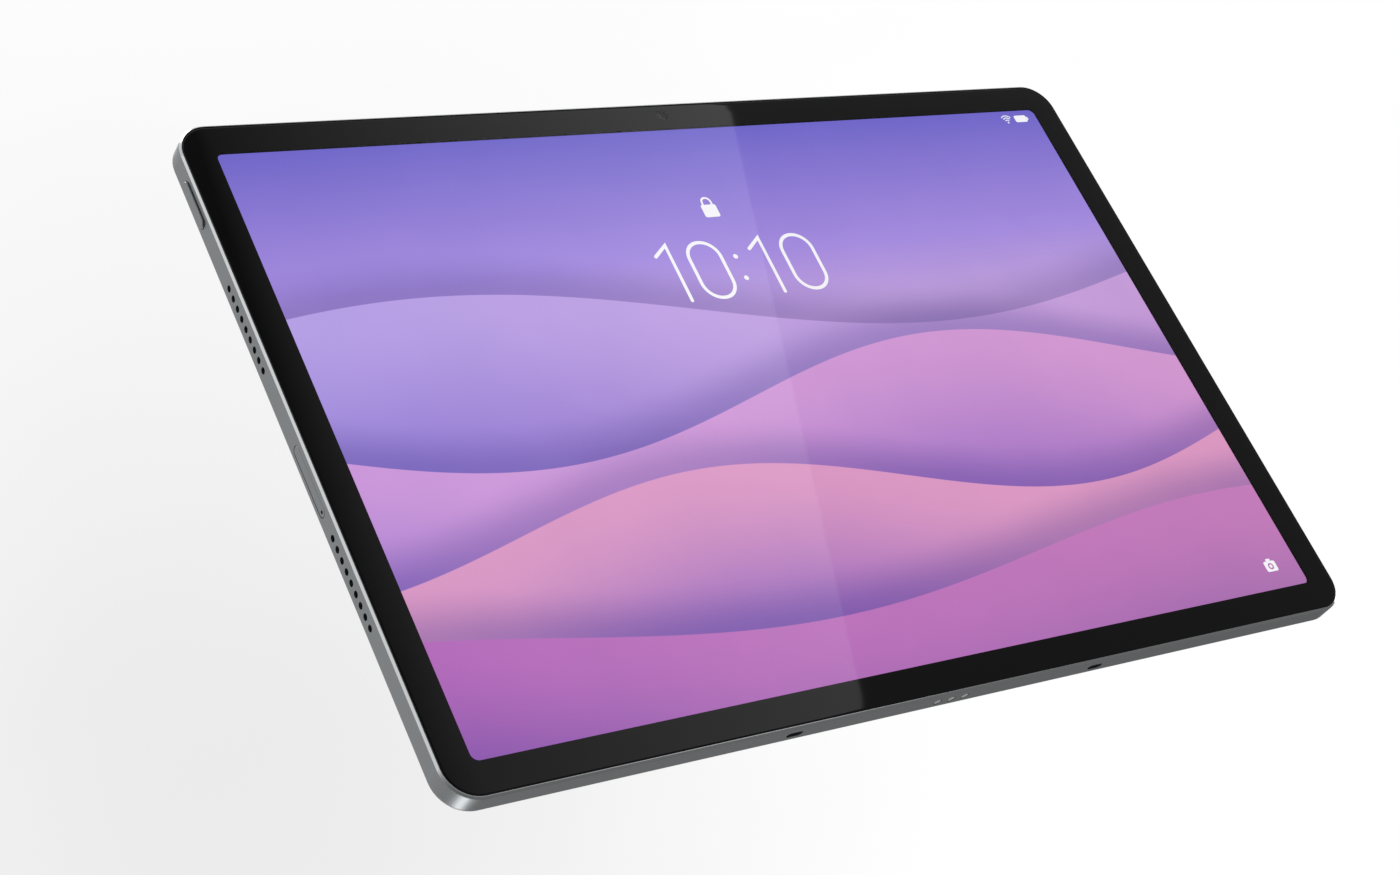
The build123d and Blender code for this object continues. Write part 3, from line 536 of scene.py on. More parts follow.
def front_glass(materials):
    """Cover glass with a rolled-off edge, a printed border, and clear windows for screen and camera."""
    PRINT, CLEAR, INNER = 0, 1, 2
    bm = bmesh.new()
    loops = []
    for i in range(CURVE_STEPS + 1):
        angle = math.pi / 2 * i / CURVE_STEPS
        inset = GLASS_CURVE * (1 - math.sin(angle))
        depth = GLASS_CURVE_DEPTH * (1 - math.cos(angle))
        loops.append(loop_at(bm, glass_outline(inset), at_depth(depth)))
    loops.append(loop_at(bm, glass_outline(0), at_depth(GLASS_T)))
    for first, second in zip(loops, loops[1:]):
        wall(bm, first, second, PRINT)
    camera_at = face_centre("front_camera")
    front = loop_at(bm, window_outline(), at_depth(0))
    back = loop_at(bm, window_outline(), at_depth(WINDOW_BACK))
    rear = loop_at(bm, window_outline(), at_depth(GLASS_T))
    eye_front = loop_at(bm, circle(camera_at, CAMERA_WINDOW_R, 48), at_depth(0))
    eye_back = loop_at(bm, circle(camera_at, CAMERA_WINDOW_R, 48), at_depth(GLASS_T))
    cap(bm, [loops[0], front, eye_front], PRINT)
    cap(bm, [front], CLEAR)
    cap(bm, [eye_front], CLEAR)
    wall(bm, back, rear, PRINT)
    cap(bm, [back], INNER)
    cap(bm, [eye_back], INNER)
    cap(bm, [loops[-1], rear, eye_back], PRINT)
    piece = finish_mesh(bm, "front_glass", "tablet", materials)
    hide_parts("cover_glass")
    return piece


def screen_picture(material):
    """The lit picture, a film bonded between the glass and the display panel."""
    bm = bmesh.new()
    slab(bm, window_outline(), at_depth(PICTURE_FRONT), at_depth(GLASS_T))
    return finish_mesh(bm, "screen_picture", "tablet", [material])


FIGURE_FRONT = 0.57 * MM
FIGURE_BACK = 0.60 * MM
CAP_STEPS = 8


def ribbon(bm, path, width, closed=False):
    """A flat stroke of even width along points on the screen, round at its open ends."""
    points = [Vector((x, z)) for x, z in path]
    count = len(points)
    left, right = [], []
    for i, point in enumerate(points):
        before = points[i - 1] if i or closed else point
        after = points[(i + 1) % count] if i < count - 1 or closed else point
        into = (point - before).normalized() if before != point else (after - point).normalized()
        out = (after - point).normalized() if after != point else into
        along = (into + out).normalized()
        normal = Vector((-along.y, along.x))
        reach = width / 2 / max(0.5, normal.dot(Vector((-into.y, into.x))))
        left.append(point + normal * reach)
        right.append(point - normal * reach)
    y_front, y_back = at_depth(FIGURE_FRONT), at_depth(FIGURE_BACK)
    if closed:
        rings = [loop_at(bm, side, y) for side in (left, right) for y in (y_front, y_back)]
        wall(bm, rings[0], rings[2])
        wall(bm, rings[1], rings[3])
        wall(bm, rings[0], rings[1])
        wall(bm, rings[2], rings[3])
        return
    start_angle = math.degrees(math.atan2(left[0].y - points[0].y, left[0].x - points[0].x))
    end_angle = math.degrees(math.atan2(right[-1].y - points[-1].y, right[-1].x - points[-1].x))
    start_cap = arc(points[0], width / 2, start_angle, start_angle + 180, CAP_STEPS)[1:-1]
    end_cap = arc(points[-1], width / 2, end_angle, end_angle + 180, CAP_STEPS)[1:-1]
    outline = list(reversed(left)) + start_cap + right + end_cap
    slab(bm, [(p[0], p[1]) for p in outline], y_front, y_back)


CLOCK_Z = CENTRE_Z + 38.1 * MM     # middle of the figures
CLOCK_H = 18.2 * MM                # between the middles of the top and bottom strokes
ZERO_W = 10.4 * MM
STROKE = 1.05 * MM
COLON_R = 0.75 * MM
COLON_X = 0.9 * MM
COLON_RISE = 3.6 * MM


def figure_one(bm, x):
    """The numeral 1 with its foot at x."""
    top = CLOCK_Z + CLOCK_H / 2
    ribbon(bm, [(x - 4.6 * MM, top - 3.4 * MM), (x, top), (x, CLOCK_Z - CLOCK_H / 2)], STROKE)


def figure_zero(bm, x):
    """The numeral 0 about x: a tall rounded loop."""
    outline = rounded_outline(ZERO_W, CLOCK_H, ZERO_W / 2 - 0.1 * MM, (x, CLOCK_Z), 12)
    ribbon(bm, outline, STROKE, closed=True)


def screen_clock(material):
    """Plain clock numerals in thin round strokes."""
    bm = bmesh.new()
    figure_one(bm, -19.8 * MM)
    figure_zero(bm, -9.0 * MM)
    for level in (-COLON_RISE, COLON_RISE):
        dot = circle((COLON_X, CLOCK_Z + level), COLON_R, 24)
        slab(bm, dot, at_depth(FIGURE_FRONT), at_depth(FIGURE_BACK))
    figure_one(bm, 11.2 * MM)
    figure_zero(bm, 22.4 * MM)
    return finish_mesh(bm, "screen_clock", "tablet", [material])


def screen_symbols(material):
    """Small generic symbols: a padlock, a wireless fan, a battery and a camera."""
    bm = bmesh.new()
    y_front, y_back = at_depth(FIGURE_FRONT), at_depth(FIGURE_BACK)
    lock_x, lock_z = 0.4 * MM, CENTRE_Z + 57.3 * MM
    slab(bm, rounded_outline(5.0 * MM, 4.2 * MM, 0.6 * MM, (lock_x, lock_z), 6), y_front, y_back)
    shackle_z = lock_z + 2.9 * MM
    shackle = [(lock_x + 1.5 * MM, lock_z + 2.0 * MM)]
    shackle += arc((lock_x, shackle_z), 1.5 * MM, 0, 180, 14)
    shackle += [(lock_x - 1.5 * MM, lock_z + 2.0 * MM)]
    ribbon(bm, shackle, 0.6 * MM)
    fan = (124.6 * MM, CENTRE_Z + 81.2 * MM)
    for radius in (1.0 * MM, 1.8 * MM, 2.6 * MM):
        ribbon(bm, arc(fan, radius, 48, 132, 12), 0.32 * MM)
    slab(bm, circle(fan, 0.32 * MM, 20), y_front, y_back)
    cell = (130.3 * MM, CENTRE_Z + 82.4 * MM)
    slab(bm, rounded_outline(4.8 * MM, 2.5 * MM, 0.6 * MM, cell, 6), y_front, y_back)
    nub = (cell[0] + 2.75 * MM, cell[1])
    slab(bm, rounded_outline(0.5 * MM, 1.1 * MM, 0.2 * MM, nub, 4), y_front, y_back)
    eye = (126.4 * MM, CENTRE_Z - 78.2 * MM)
    body = rounded_outline(4.4 * MM, 3.3 * MM, 0.6 * MM, eye, 6)
    ring = circle(eye, 1.05 * MM, 28)
    loops = [loop_at(bm, outline, y) for outline in (body, ring) for y in (y_front, y_back)]
    wall(bm, loops[0], loops[1])
    wall(bm, loops[2], loops[3])
    cap(bm, [loops[0], loops[2]])
    cap(bm, [loops[1], loops[3]])
    slab(bm, circle(eye, 0.55 * MM, 20), y_front, y_back)
    hump = (eye[0], eye[1] + 2.05 * MM)
    slab(bm, rounded_outline(1.7 * MM, 0.7 * MM, 0.3 * MM, hump, 4), y_front, y_back)
    return finish_mesh(bm, "screen_symbols", "tablet", [material])


def front_camera_lens(black, coated):
    """Small lens set in the front camera's mouth."""
    x, z = face_centre("front_camera")
    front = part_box("front_camera")[0].y
    BODY, LENS = 0, 1
    bm = bmesh.new()
    turned(bm, (x, z), [
        (0.95 * MM, front + 0.29 * MM, BODY), (0.95 * MM, front + 0.02 * MM, BODY),
        (0.86 * MM, front + 0.02 * MM, BODY), (0.62 * MM, front + 0.12 * MM, LENS),
        (0.48 * MM, front + 0.06 * MM, LENS), (0.25 * MM, front + 0.03 * MM, LENS),
        (0.05 * MM, front + 0.02 * MM, BODY), (0.05 * MM, front + 0.29 * MM, BODY),
    ], 48)
    return finish_mesh(bm, "front_camera_lens", "tablet", [black, coated])


# ================================================================ back: ribbed band and pen mark
BAND_W = 286.0 * MM
BAND_H = 41.8 * MM
BAND_R = 7.5 * MM
BAND_FLOOR = 0.12 * MM
BAND_AT = face_centre("pen_mark")
RIB_PITCH = 1.105 * MM
RIB_DEPTH = 0.10 * MM
RIB_SINK = 0.015 * MM            # the crests stand this far below the plain back
RIB_FADE = 1.3 * MM              # the ribs run out over this width at the band's outline
RIB_SAMPLES = 8                  # profile points to a pitch
RIB_STATIONS = [0.0, 0.3, 0.6, 0.9, 1.2, 1.6, 2.2]   # mm from an end, where the height changes
PLATE_TUCK = 1.2 * MM            # the band runs this far under the camera plate's frame
MARK_TUCK = 0.35 * MM
DIAGONAL = 1 / math.sqrt(2)


def outline_distance(x, z):
    """How far a place lies inside the band's outline; negative outside."""
    over_x = abs(x - BAND_AT[0]) - (BAND_W / 2 - BAND_R)
    over_z = abs(z - BAND_AT[1]) - (BAND_H / 2 - BAND_R)
    outside = math.hypot(max(over_x, 0), max(over_z, 0))
    return BAND_R - outside - min(max(over_x, over_z), 0)


def on_rib(along, across):
    """The place at a distance along a rib and across the ribs, from the band's middle."""
    return BAND_AT[0] + (along + across) * DIAGONAL, BAND_AT[1] + (along - across) * DIAGONAL


def rib_interval(across):
    """Where a line along the ribs enters and leaves the band, or None."""
    def depth(along):
        return outline_distance(*on_rib(along, across))

    low, high = -BAND_W, BAND_W
    for _ in range(60):
        third = (high - low) / 3
        if depth(low + third) < depth(high - third):
            low += third
        else:
            high -= third
    inner = (low + high) / 2
    if depth(inner) <= 0:
        return None
    ends = []
    for direction in (-1, 1):
        inside, outside = inner, inner + direction * BAND_W
        for _ in range(40):
            half = (inside + outside) / 2
            if depth(half) > 0:
                inside = half
            else:
                outside = half
        ends.append(inside)
    return ends


def rib_height(x, z, across):
    """The y of the ribbed surface at a place."""
    fade = min(1.0, max(0.0, outline_distance(x, z) / RIB_FADE))
    groove = 0.5 - 0.5 * math.cos(2 * math.pi * across / RIB_PITCH)
    return BACK_Y - fade * (RIB_SINK + (RIB_DEPTH - RIB_SINK) * groove ** 1.4)


def cut_window(bm, low, high, tuck):
    """Opens the band where a piece with this box stands, tucking its edge under the piece."""
    x_cuts = (low.x + tuck, high.x - tuck)
    z_cuts = (low.z + tuck, high.z - tuck)
    for axis, cuts in ((0, x_cuts), (2, z_cuts)):
        for value in cuts:
            near = [face for face in bm.faces if overlaps(face, x_cuts, z_cuts)]
            parts = near + list({v for f in near for v in f.verts} | {e for f in near for e in f.edges})
            point, normal = [0, 0, 0], [0, 0, 0]
            point[axis], normal[axis] = value, 1
            bmesh.ops.bisect_plane(bm, geom=parts, plane_co=point, plane_no=normal, dist=1e-7)
    inside = []
    for face in bm.faces:
        centre = face.calc_center_median()
        if x_cuts[0] < centre.x < x_cuts[1] and z_cuts[0] < centre.z < z_cuts[1]:
            inside.append(face)
    bmesh.ops.delete(bm, geom=inside, context="FACES")


def overlaps(face, x_span, z_span):
    """Whether a face's own span meets the spans."""
    xs = [vertex.co.x for vertex in face.verts]
    zs = [vertex.co.z for vertex in face.verts]
    return min(xs) < x_span[1] and max(xs) > x_span[0] and min(zs) < z_span[1] and max(zs) > z_span[0]


def ribbed_band(material):
    """The diagonal ribs of the upper back, a shallow relief that fills the housing's recess."""
    bm = bmesh.new()
    step = RIB_PITCH / RIB_SAMPLES
    reach = int((BAND_W + BAND_H) * DIAGONAL / 2 / step) + 1
    previous = None
    for line in range(-reach, reach + 1):
        across = line * step
        ends = rib_interval(across)
        if ends is None:
            previous = None
            continue
        start, end = ends
        half = (end - start) / 2
        lead = [min(station * MM * 1.42, half) for station in RIB_STATIONS]
        stations = [start + d for d in lead] + [(start + end) / 2] + [end - d for d in reversed(lead)]
        row = []
        for along in stations:
            x, z = on_rib(along, across)
            row.append(bm.verts.new((x, rib_height(x, z, across), z)))
        if previous:
            for i in range(len(row) - 1):
                bm.faces.new((previous[i], previous[i + 1], row[i + 1], row[i]))
        previous = row
    bmesh.ops.remove_doubles(bm, verts=bm.verts, dist=1e-7)
    cut_window(bm, *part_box("camera_trim"), PLATE_TUCK)
    cut_window(bm, *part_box("pen_mark"), MARK_TUCK)
    rim = [e for e in bm.edges if e.is_boundary]
    skirt = bmesh.ops.extrude_edge_only(bm, edges=rim)
    for vertex in (v for v in skirt["geom"] if isinstance(v, bmesh.types.BMVert)):
        vertex.co.y = BACK_Y - BAND_FLOOR
    floor_edges = [e for e in skirt["geom"] if isinstance(e, bmesh.types.BMEdge) and e.is_boundary]
    bmesh.ops.triangle_fill(bm, use_beauty=False, use_dissolve=False, edges=floor_edges)
    return finish_mesh(bm, "ribbed_band", "tablet", [material])


MARK_SPLIT = 0.345               # share of the mark that is dark, at its -X end


def pen_mark_inlay(light, dark, line):
    """Two-tone pill with a fine darker line round it."""
    low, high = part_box("pen_mark")
    x, z = face_centre("pen_mark")
    length, height = high.x - low.x, high.z - low.z
    split = low.x + MARK_SPLIT * length
    LIGHT, DARK, LINE = 0, 1, 2
    bm = bmesh.new()
    outer = rounded_outline(length, height, height / 2 - 0.01 * MM, (x, z), 16)
    inner = rounded_outline(length - 0.36 * MM, height - 0.36 * MM, height / 2 - 0.2 * MM, (x, z), 16)
    floor = loop_at(bm, outer, low.y)
    brim = loop_at(bm, outer, high.y)
    ditch = loop_at(bm, inner, high.y - 0.03 * MM)
    face_line = loop_at(bm, inner, high.y)
    cap(bm, [floor], LINE)
    wall(bm, floor, brim, LINE)
    wall(bm, brim, ditch, LINE)
    wall(bm, ditch, face_line, LINE)
    cap(bm, [face_line], LIGHT)
    faces = [f for f in bm.faces if f.material_index == LIGHT]
    geom = faces + list({v for f in faces for v in f.verts} | {e for f in faces for e in f.edges})
    bmesh.ops.bisect_plane(bm, geom=geom, plane_co=(split, 0, 0), plane_no=(1, 0, 0), dist=1e-7)
    for face in bm.faces:
        if face.material_index == LIGHT and face.calc_center_median().x < split:
            face.material_index = DARK
    piece = finish_mesh(bm, "pen_mark_inlay", "tablet", [light, dark, line])
    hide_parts("pen_mark")
    return piece


# ================================================================ rear camera
CONE_RINGS = 5
DOME_R = 2.1 * MM


def lens_bezel(material):
    """Bright turned ring round the lens, with a rounded lip."""
    low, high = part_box("lens_ring")
    radius = (high.x - low.x) / 2
    bore = radius - 0.9 * MM
    top = high.y
    profile = [(radius, low.y), (radius, top - 0.28 * MM)]
    for i in range(7):
        angle = math.radians(90 * i / 6)
        profile.append((radius - 0.28 * MM * (1 - math.cos(angle)), top - 0.28 * MM * (1 - math.sin(angle))))
    profile += [(bore + 0.25 * MM, top), (bore, top - 0.2 * MM), (bore, low.y)]
    bm = bmesh.new()
    turned(bm, face_centre("lens_ring"), [(r, y, 0) for r, y in profile], 128)
    piece = finish_mesh(bm, "lens_bezel", "tablet", [material])
    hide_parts("lens_ring")
    return piece


def lens_cone(black):
    """Black cone between ring and barrel, turned in fine steps that catch the light."""
    low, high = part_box("lens_seat")
    outer = (high.x - low.x) / 2
    inner = (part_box("rear_camera")[1].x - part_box("rear_camera")[0].x) / 2 - 1.6 * MM
    top = high.y
    profile = [(outer, low.y, 0), (outer, top, 0), (outer - 0.5 * MM, top, 0)]
    first = outer - 0.75 * MM
    tread = (first - inner) / CONE_RINGS
    for i in range(CONE_RINGS):
        edge = first - i * tread
        y = top - 0.10 * MM - 0.15 * MM * i
        profile += [(edge, y, 0), (edge - tread * 0.75, y - 0.02 * MM, 0)]
    profile += [(inner, low.y + 0.1 * MM, 0), (inner, low.y, 0)]
    bm = bmesh.new()
    turned(bm, face_centre("lens_seat"), profile, 128)
    piece = finish_mesh(bm, "lens_cone", "tablet", [black])
    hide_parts("lens_seat")
    return piece


def lens_elements(black, coated, line):
    """The barrel's front: a black retaining ring with fine bright lines, and a domed element."""
    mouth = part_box("rear_camera")[1].y
    BODY, LENS, LINE = 0, 1, 2
    seat = mouth - 0.05 * MM
    high, low = mouth + 0.14 * MM, mouth + 0.05 * MM
    bm = bmesh.new()
    turned(bm, face_centre("lens_ring"), [
        (3.7 * MM, seat, BODY), (3.7 * MM, high, LINE), (3.58 * MM, high, BODY), (3.2 * MM, high, BODY),
        (3.1 * MM, low, BODY), (2.75 * MM, low, BODY), (2.65 * MM, high, LINE), (2.52 * MM, high, BODY),
        (2.3 * MM, low, BODY), (2.25 * MM, seat, BODY),
    ])
    rise = 0.50 * MM
    foot = mouth - 0.22 * MM
    dome = [(0, foot - 0.06 * MM, BODY), (DOME_R, foot - 0.06 * MM, BODY), (DOME_R, foot, LENS)]
    for i in range(1, 10):
        angle = math.radians(90 * i / 10)
        dome.append((DOME_R * math.cos(angle), foot + rise * math.sin(angle), LENS))
    dome.append((0, foot + rise, LENS))
    turned(bm, face_centre("lens_ring"), dome)
    return finish_mesh(bm, "lens_elements", "tablet", [black, coated, line])


def flash_optic(diffuser, bright):
    """Round light window: fine concentric steps inside a thin bright line."""
    low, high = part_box("flash_window")
    radius = (high.x - low.x) / 2
    led = (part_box("flash_led")[1].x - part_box("flash_led")[0].x) / 2
    FACE, LINE = 0, 1
    profile = [
        (led + 0.1 * MM, low.y, FACE), (radius, low.y, FACE), (radius, high.y - 0.02 * MM, LINE),
        (radius - 0.06 * MM, high.y, LINE), (radius - 0.34 * MM, high.y, LINE),
        (radius - 0.40 * MM, high.y - 0.03 * MM, FACE),
    ]
    steps = 11
    inner = led + 0.35 * MM
    tread = (radius - 0.5 * MM - inner) / steps
    for i in range(steps):
        edge = radius - 0.5 * MM - i * tread
        profile += [(edge, high.y - 0.03 * MM, FACE), (edge - tread * 0.8, high.y - 0.045 * MM, FACE)]
    profile += [(inner, high.y - 0.03 * MM, FACE), (led + 0.1 * MM, high.y - 0.06 * MM, FACE)]
    bm = bmesh.new()
    turned(bm, face_centre("flash_window"), profile, 96)
    piece = finish_mesh(bm, "flash_optic", "tablet", [diffuser, bright])
    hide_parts("flash_window")
    return piece


# ================================================================ edges: charging port
USB_PINS = 12
USB_PIN_PITCH = 0.5 * MM


def usb_pins(material):
    """Plated contact strips on both faces of the charging port's tongue."""
    low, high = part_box("usb_tongue")
    bm = bmesh.new()
    for y, thickness in ((low.y, -0.02 * MM), (high.y, 0.02 * MM)):
        for i in range(USB_PINS):
            z = middle("usb_tongue").z + (i - (USB_PINS - 1) / 2) * USB_PIN_PITCH
            outline = rounded_outline(3.6 * MM, 0.26 * MM, 0.06 * MM, (high.x - 2.4 * MM, z), 3)
            slab(bm, outline, y, y + thickness)
    return finish_mesh(bm, "usb_pins", "tablet", [material])


# ================================================================ finish of each piece
ALUMINIUM = tone("#8d9092")
RIM_BACK = HOUSING_LOW.y + 0.49 * MM

housing_metal = anodised("housing_metal", ALUMINIUM, polished_before=RIM_BACK)
key_metal = anodised("key_metal", ALUMINIUM)
# the ribbed band's metal, with painted shade in its grooves
rib_metal_painted_shade = anodised("rib_metal_painted_shade", ALUMINIUM, groove_back=BACK_Y)
print_black = black_print()
window_glass = clear_glass("window_glass", tone("#ffffff"), 0.012, 0.045)
window_inner = inner_glass()
lens_window = clear_glass("lens_window", tone("#eef0f4"), 0.02, 0.002)
dark_plastic = moulded("dark_plastic", tone("#141415"), tone("#242526"), 0.5)
black_anodised = moulded("black_anodised", tone("#08080a"), tone("#161619"), 0.32, 0.12 * MM)
lens_black = moulded("lens_black", tone("#1c1d20"), tone("#2b2c30"), 0.22, 1.4 * MM)
seal_rubber = moulded("seal_rubber", tone("#1d1412"), tone("#2b1d19"), 0.7)
adhesive_film = moulded("adhesive_film", tone("#191919"), tone("#2a2a2a"), 0.45, 0.8 * MM)
chip_epoxy = moulded("chip_epoxy", tone("#17181a"), tone("#232427"), 0.45, 0.15 * MM)
light_sheet = moulded("light_sheet", tone("#dfe6ee"), tone("#f2f5f8"), 0.3, 0.5 * MM)
panel_edge = moulded("panel_edge", tone("#15161a"), tone("#24262c"), 0.2, 0.4 * MM)
diffuser = moulded("diffuser", tone("#a3a4a9"), tone("#b9babf"), 0.34, 0.4 * MM)
steel = bare_metal("steel", tone("#9a9c9e"), tone("#c6c8c9"), 0.34)
port_steel = bare_metal("port_steel", tone("#b4b6b8"), tone("#dcdddd"), 0.26)
bright_metal = bare_metal("bright_metal", tone("#d5d7d9"), tone("#f0f1f2"), 0.16, (1, 1, 1))
graphite = bare_metal("graphite", tone("#26282a"), tone("#3a3c3f"), 0.4)
copper = bare_metal("copper", tone("#a55c30"), tone("#d98b55"), 0.28, (14, 1, 1))
nickel = bare_metal("nickel", tone("#a8a49c"), tone("#cfcbc2"), 0.24)
gold_plate = bare_metal("gold_plate", tone("#c2a265"), tone("#ecd08c"), 0.22, (1, 1, 3))
contact_plate = bare_metal("contact_plate", tone("#b9b8b2"), tone("#e6e4dc"), 0.2, (1, 1, 1))
board_green = circuit_board()
flex_film = flexible_circuit()
cell_foil = battery_foil()
mesh_cloth = speaker_cloth()
glazing_painted_sheen = camera_glazing_painted_sheen()
rear_coating = lens_coating("rear_coating", tone("#2c3550"), tone("#39244a"), "lens_ring", 2.2 * MM)
front_coating = lens_coating("front_coating", tone("#3a4048"), tone("#1b1f2b"), "front_camera", 0.8 * MM)
# the flash's phosphor, given a painted glow
phosphor_painted_glow = glowing("phosphor_painted_glow", tone("#fffdf2"), tone("#c9c48c"), "flash_led", 2.1 * MM, 0.35)
mark_light = anodised("mark_light", tone("#a4a7a9"))
mark_dark = anodised("mark_dark", tone("#4a4c4e"))
mark_line = anodised("mark_line", tone("#3e4042"))
figure_white = lit_white()

CAD_FINISH = {
    housing_metal: ["rear_housing"],
    key_metal: ["power_button", "volume_rocker", "card_tray"],
    dark_plastic: [
        "display_carrier", "speaker_upper_left", "speaker_lower_left", "speaker_upper_right",
        "speaker_lower_right", "usb_tongue", "contact_carrier", "dock_sockets",
    ],
    adhesive_film: ["glass_gasket"],
    panel_edge: ["display_panel"],
    light_sheet: ["light_guide"],
    flex_film: [
        "led_strip", "display_flex", "battery_flex", "wifi_antenna_left", "wifi_antenna_right",
        "rear_camera_flex", "key_flex", "usb_flex",
    ],
    steel: [
        "display_backplate", "board_screws", "processor_shield", "power_shield", "microphones",
        "power_switch", "power_bracket", "volume_switches", "volume_bracket", "card_reader",
    ],
    cell_foil: ["battery_cell_left", "battery_cell_right"],
    board_green: ["battery_board", "main_board", "card_board", "usb_board"],
    chip_epoxy: ["main_chips"],
    graphite: ["thermal_sheet"],
    black_anodised: ["front_camera", "rear_camera"],
    bright_metal: ["camera_trim", "lens_inner_ring"],
    glazing_painted_sheen: ["camera_plate"],
    lens_window: ["lens_cover"],
    phosphor_painted_glow: ["flash_led"],
    seal_rubber: ["tray_seal"],
    mesh_cloth: ["speaker_meshes"],
    port_steel: ["usb_shell"],
    contact_plate: ["dock_contacts"],
    copper: ["pen_coil"],
    nickel: ["pen_magnets"],
}
for material, names in CAD_FINISH.items():
    for name in names:
        for material_slot in NODES[name].material_slots:
            material_slot.material = material

front_glass([print_black, window_glass, window_inner])
screen_picture(screen_picture_material())
screen_clock(figure_white)
screen_symbols(figure_white)
front_camera_lens(black_anodised, front_coating)
ribbed_band(rib_metal_painted_shade)
pen_mark_inlay(mark_light, mark_dark, mark_line)
lens_bezel(bright_metal)
lens_cone(lens_black)
lens_elements(lens_black, rear_coating, bright_metal)
flash_optic(diffuser, bright_metal)
usb_pins(gold_plate)


# ================================================================ stage, light and camera
EYE = Vector((-0.42598, -0.47541, -0.18405))
EYE_AZIMUTH = math.radians(39.389)
EYE_ELEVATION = math.radians(23.543)
EYE_ROLL = math.radians(26.110)
LENS_MM = 67.96
SENSOR_MM = 36.0

FLOOR_Z = -0.20
BOWL_R = 2.4
BOWL_CURVE = 1.1
BOWL_TOP = 2.6
BOWL_STEPS = 16                  # to each quarter turn of its profile
BOWL_SIDES = 96


def view_axes(azimuth, elevation, roll):
    """Right, up and forward of a view turned about the vertical, tipped, then rolled."""
    flat = math.cos(elevation)
    forward = Vector((math.sin(azimuth) * flat, math.cos(azimuth) * flat, math.sin(elevation)))
    level = Vector((math.cos(azimuth), -math.sin(azimuth), 0))
    upright = level.cross(forward)
    up = math.cos(roll) * upright + math.sin(roll) * level
    return forward.cross(up), up, forward


def aim(obj, place, right, up, forward):
    """Puts a camera or a light at a place, looking forward."""
    turn = Matrix((right, up, -forward)).transposed()
    obj.matrix_world = Matrix.Translation(place) @ turn.to_4x4()


def add_camera():
    data = bpy.data.cameras.new("main_camera")
    data.lens = LENS_MM
    data.sensor_width = SENSOR_MM
    data.clip_start = 0.01
    camera = bpy.data.objects.new("main_camera", data)
    bpy.context.scene.collection.objects.link(camera)
    aim(camera, EYE, *view_axes(EYE_AZIMUTH, EYE_ELEVATION, EYE_ROLL))
    bpy.context.scene.camera = camera


# Centre and reach of a painted shadow on the studio paper, low behind the tablet.
SHADE_CENTRE = (0.85, 2.15, 0.95)
SHADE_REACH = 1.05


def paper():
    """Pale studio paper. The floor takes soft shadows, the wall glows, and a painted shadow darkens
    the paper a little low behind the tablet."""
    s = Shader("studio_paper")
    fibre = s.noise(0.5, 2.0)
    sheen = s.ramp(fibre, [(0.3, tone("#f9f9f9")), (0.7, tone("#fcfcfc"))])
    floor = s.remap(s.axis("Z"), FLOOR_Z, FLOOR_Z + 0.45, 1.0, 0.0, smooth=True)
    away = s.add("VectorMath", {0: s.place, 1: SHADE_CENTRE}, output="Value", operation="DISTANCE")
    # painted shadow: the paper's glow dims towards SHADE_CENTRE
    fall = s.remap(away, 0.0, SHADE_REACH, 0.83, 1.0, smooth=True)
    lit = s.add("BsdfDiffuse", {"Color": s.ramp(floor, [(0.0, tone("#545454")), (1.0, tone("#bcbcbc"))])})
    strength = s.math("MULTIPLY", fall, s.remap(floor, 0.0, 1.0, 1.0, 0.50))
    glow = s.add("Emission", {"Color": sheen, "Strength": strength})
    return s.done(s.add("AddShader", {0: lit, 1: glow}))


def studio_object(name, bm, material, hidden_from):
    """A mesh of the studio, hidden from some kinds of ray."""
    mesh = bpy.data.meshes.new(name)
    bm.to_mesh(mesh)
    bm.free()
    mesh.materials.append(material)
    made = bpy.data.objects.new(name, mesh)
    bpy.context.scene.collection.objects.link(made)
    for ray in hidden_from:
        setattr(made, "visible_" + ray, False)
    return made


def add_bowl():
    """Floor that curves up into a wall all round and closes overhead."""
    profile = [(0, FLOOR_Z), (BOWL_R - BOWL_CURVE, FLOOR_Z)]
    quarter = [math.radians(90 * i / BOWL_STEPS) for i in range(1, BOWL_STEPS + 1)]
    for angle in quarter:
        radius = BOWL_R - BOWL_CURVE + BOWL_CURVE * math.sin(angle)
        profile.append((radius, FLOOR_Z + BOWL_CURVE * (1 - math.cos(angle))))
    for angle in quarter:
        rise = (BOWL_TOP - BOWL_CURVE) * math.sin(angle)
        profile.append((BOWL_R * math.cos(angle), FLOOR_Z + BOWL_CURVE + rise))
    bm = bmesh.new()
    rings = []
    for radius, z in profile:
        if radius < MM:
            rings.append([bm.verts.new((0, 0, z))])
            continue
        turns = [2 * math.pi * k / BOWL_SIDES for k in range(BOWL_SIDES)]
        rings.append([bm.verts.new((radius * math.cos(t), radius * math.sin(t), z)) for t in turns])
    for first, second in zip(rings, rings[1:]):
        for k in range(BOWL_SIDES):
            j = (k + 1) % BOWL_SIDES
            near = [first[k % len(first)], first[j % len(first)]]
            far = [second[j % len(second)], second[k % len(second)]]
            bm.faces.new(list(dict.fromkeys(near + far)))
    for face in bm.faces:
        face.smooth = True
    bowl = studio_object("studio_bowl", bm, paper(), ("diffuse", "glossy", "transmission", "shadow"))


ROOM_TOWARD = (-0.35, 0.75, 0.75)
ROOM_SPAN = (-0.6, 1.0)
ROOM_GLOW = (0.19, 0.95)         # the room's strength at either end of that span


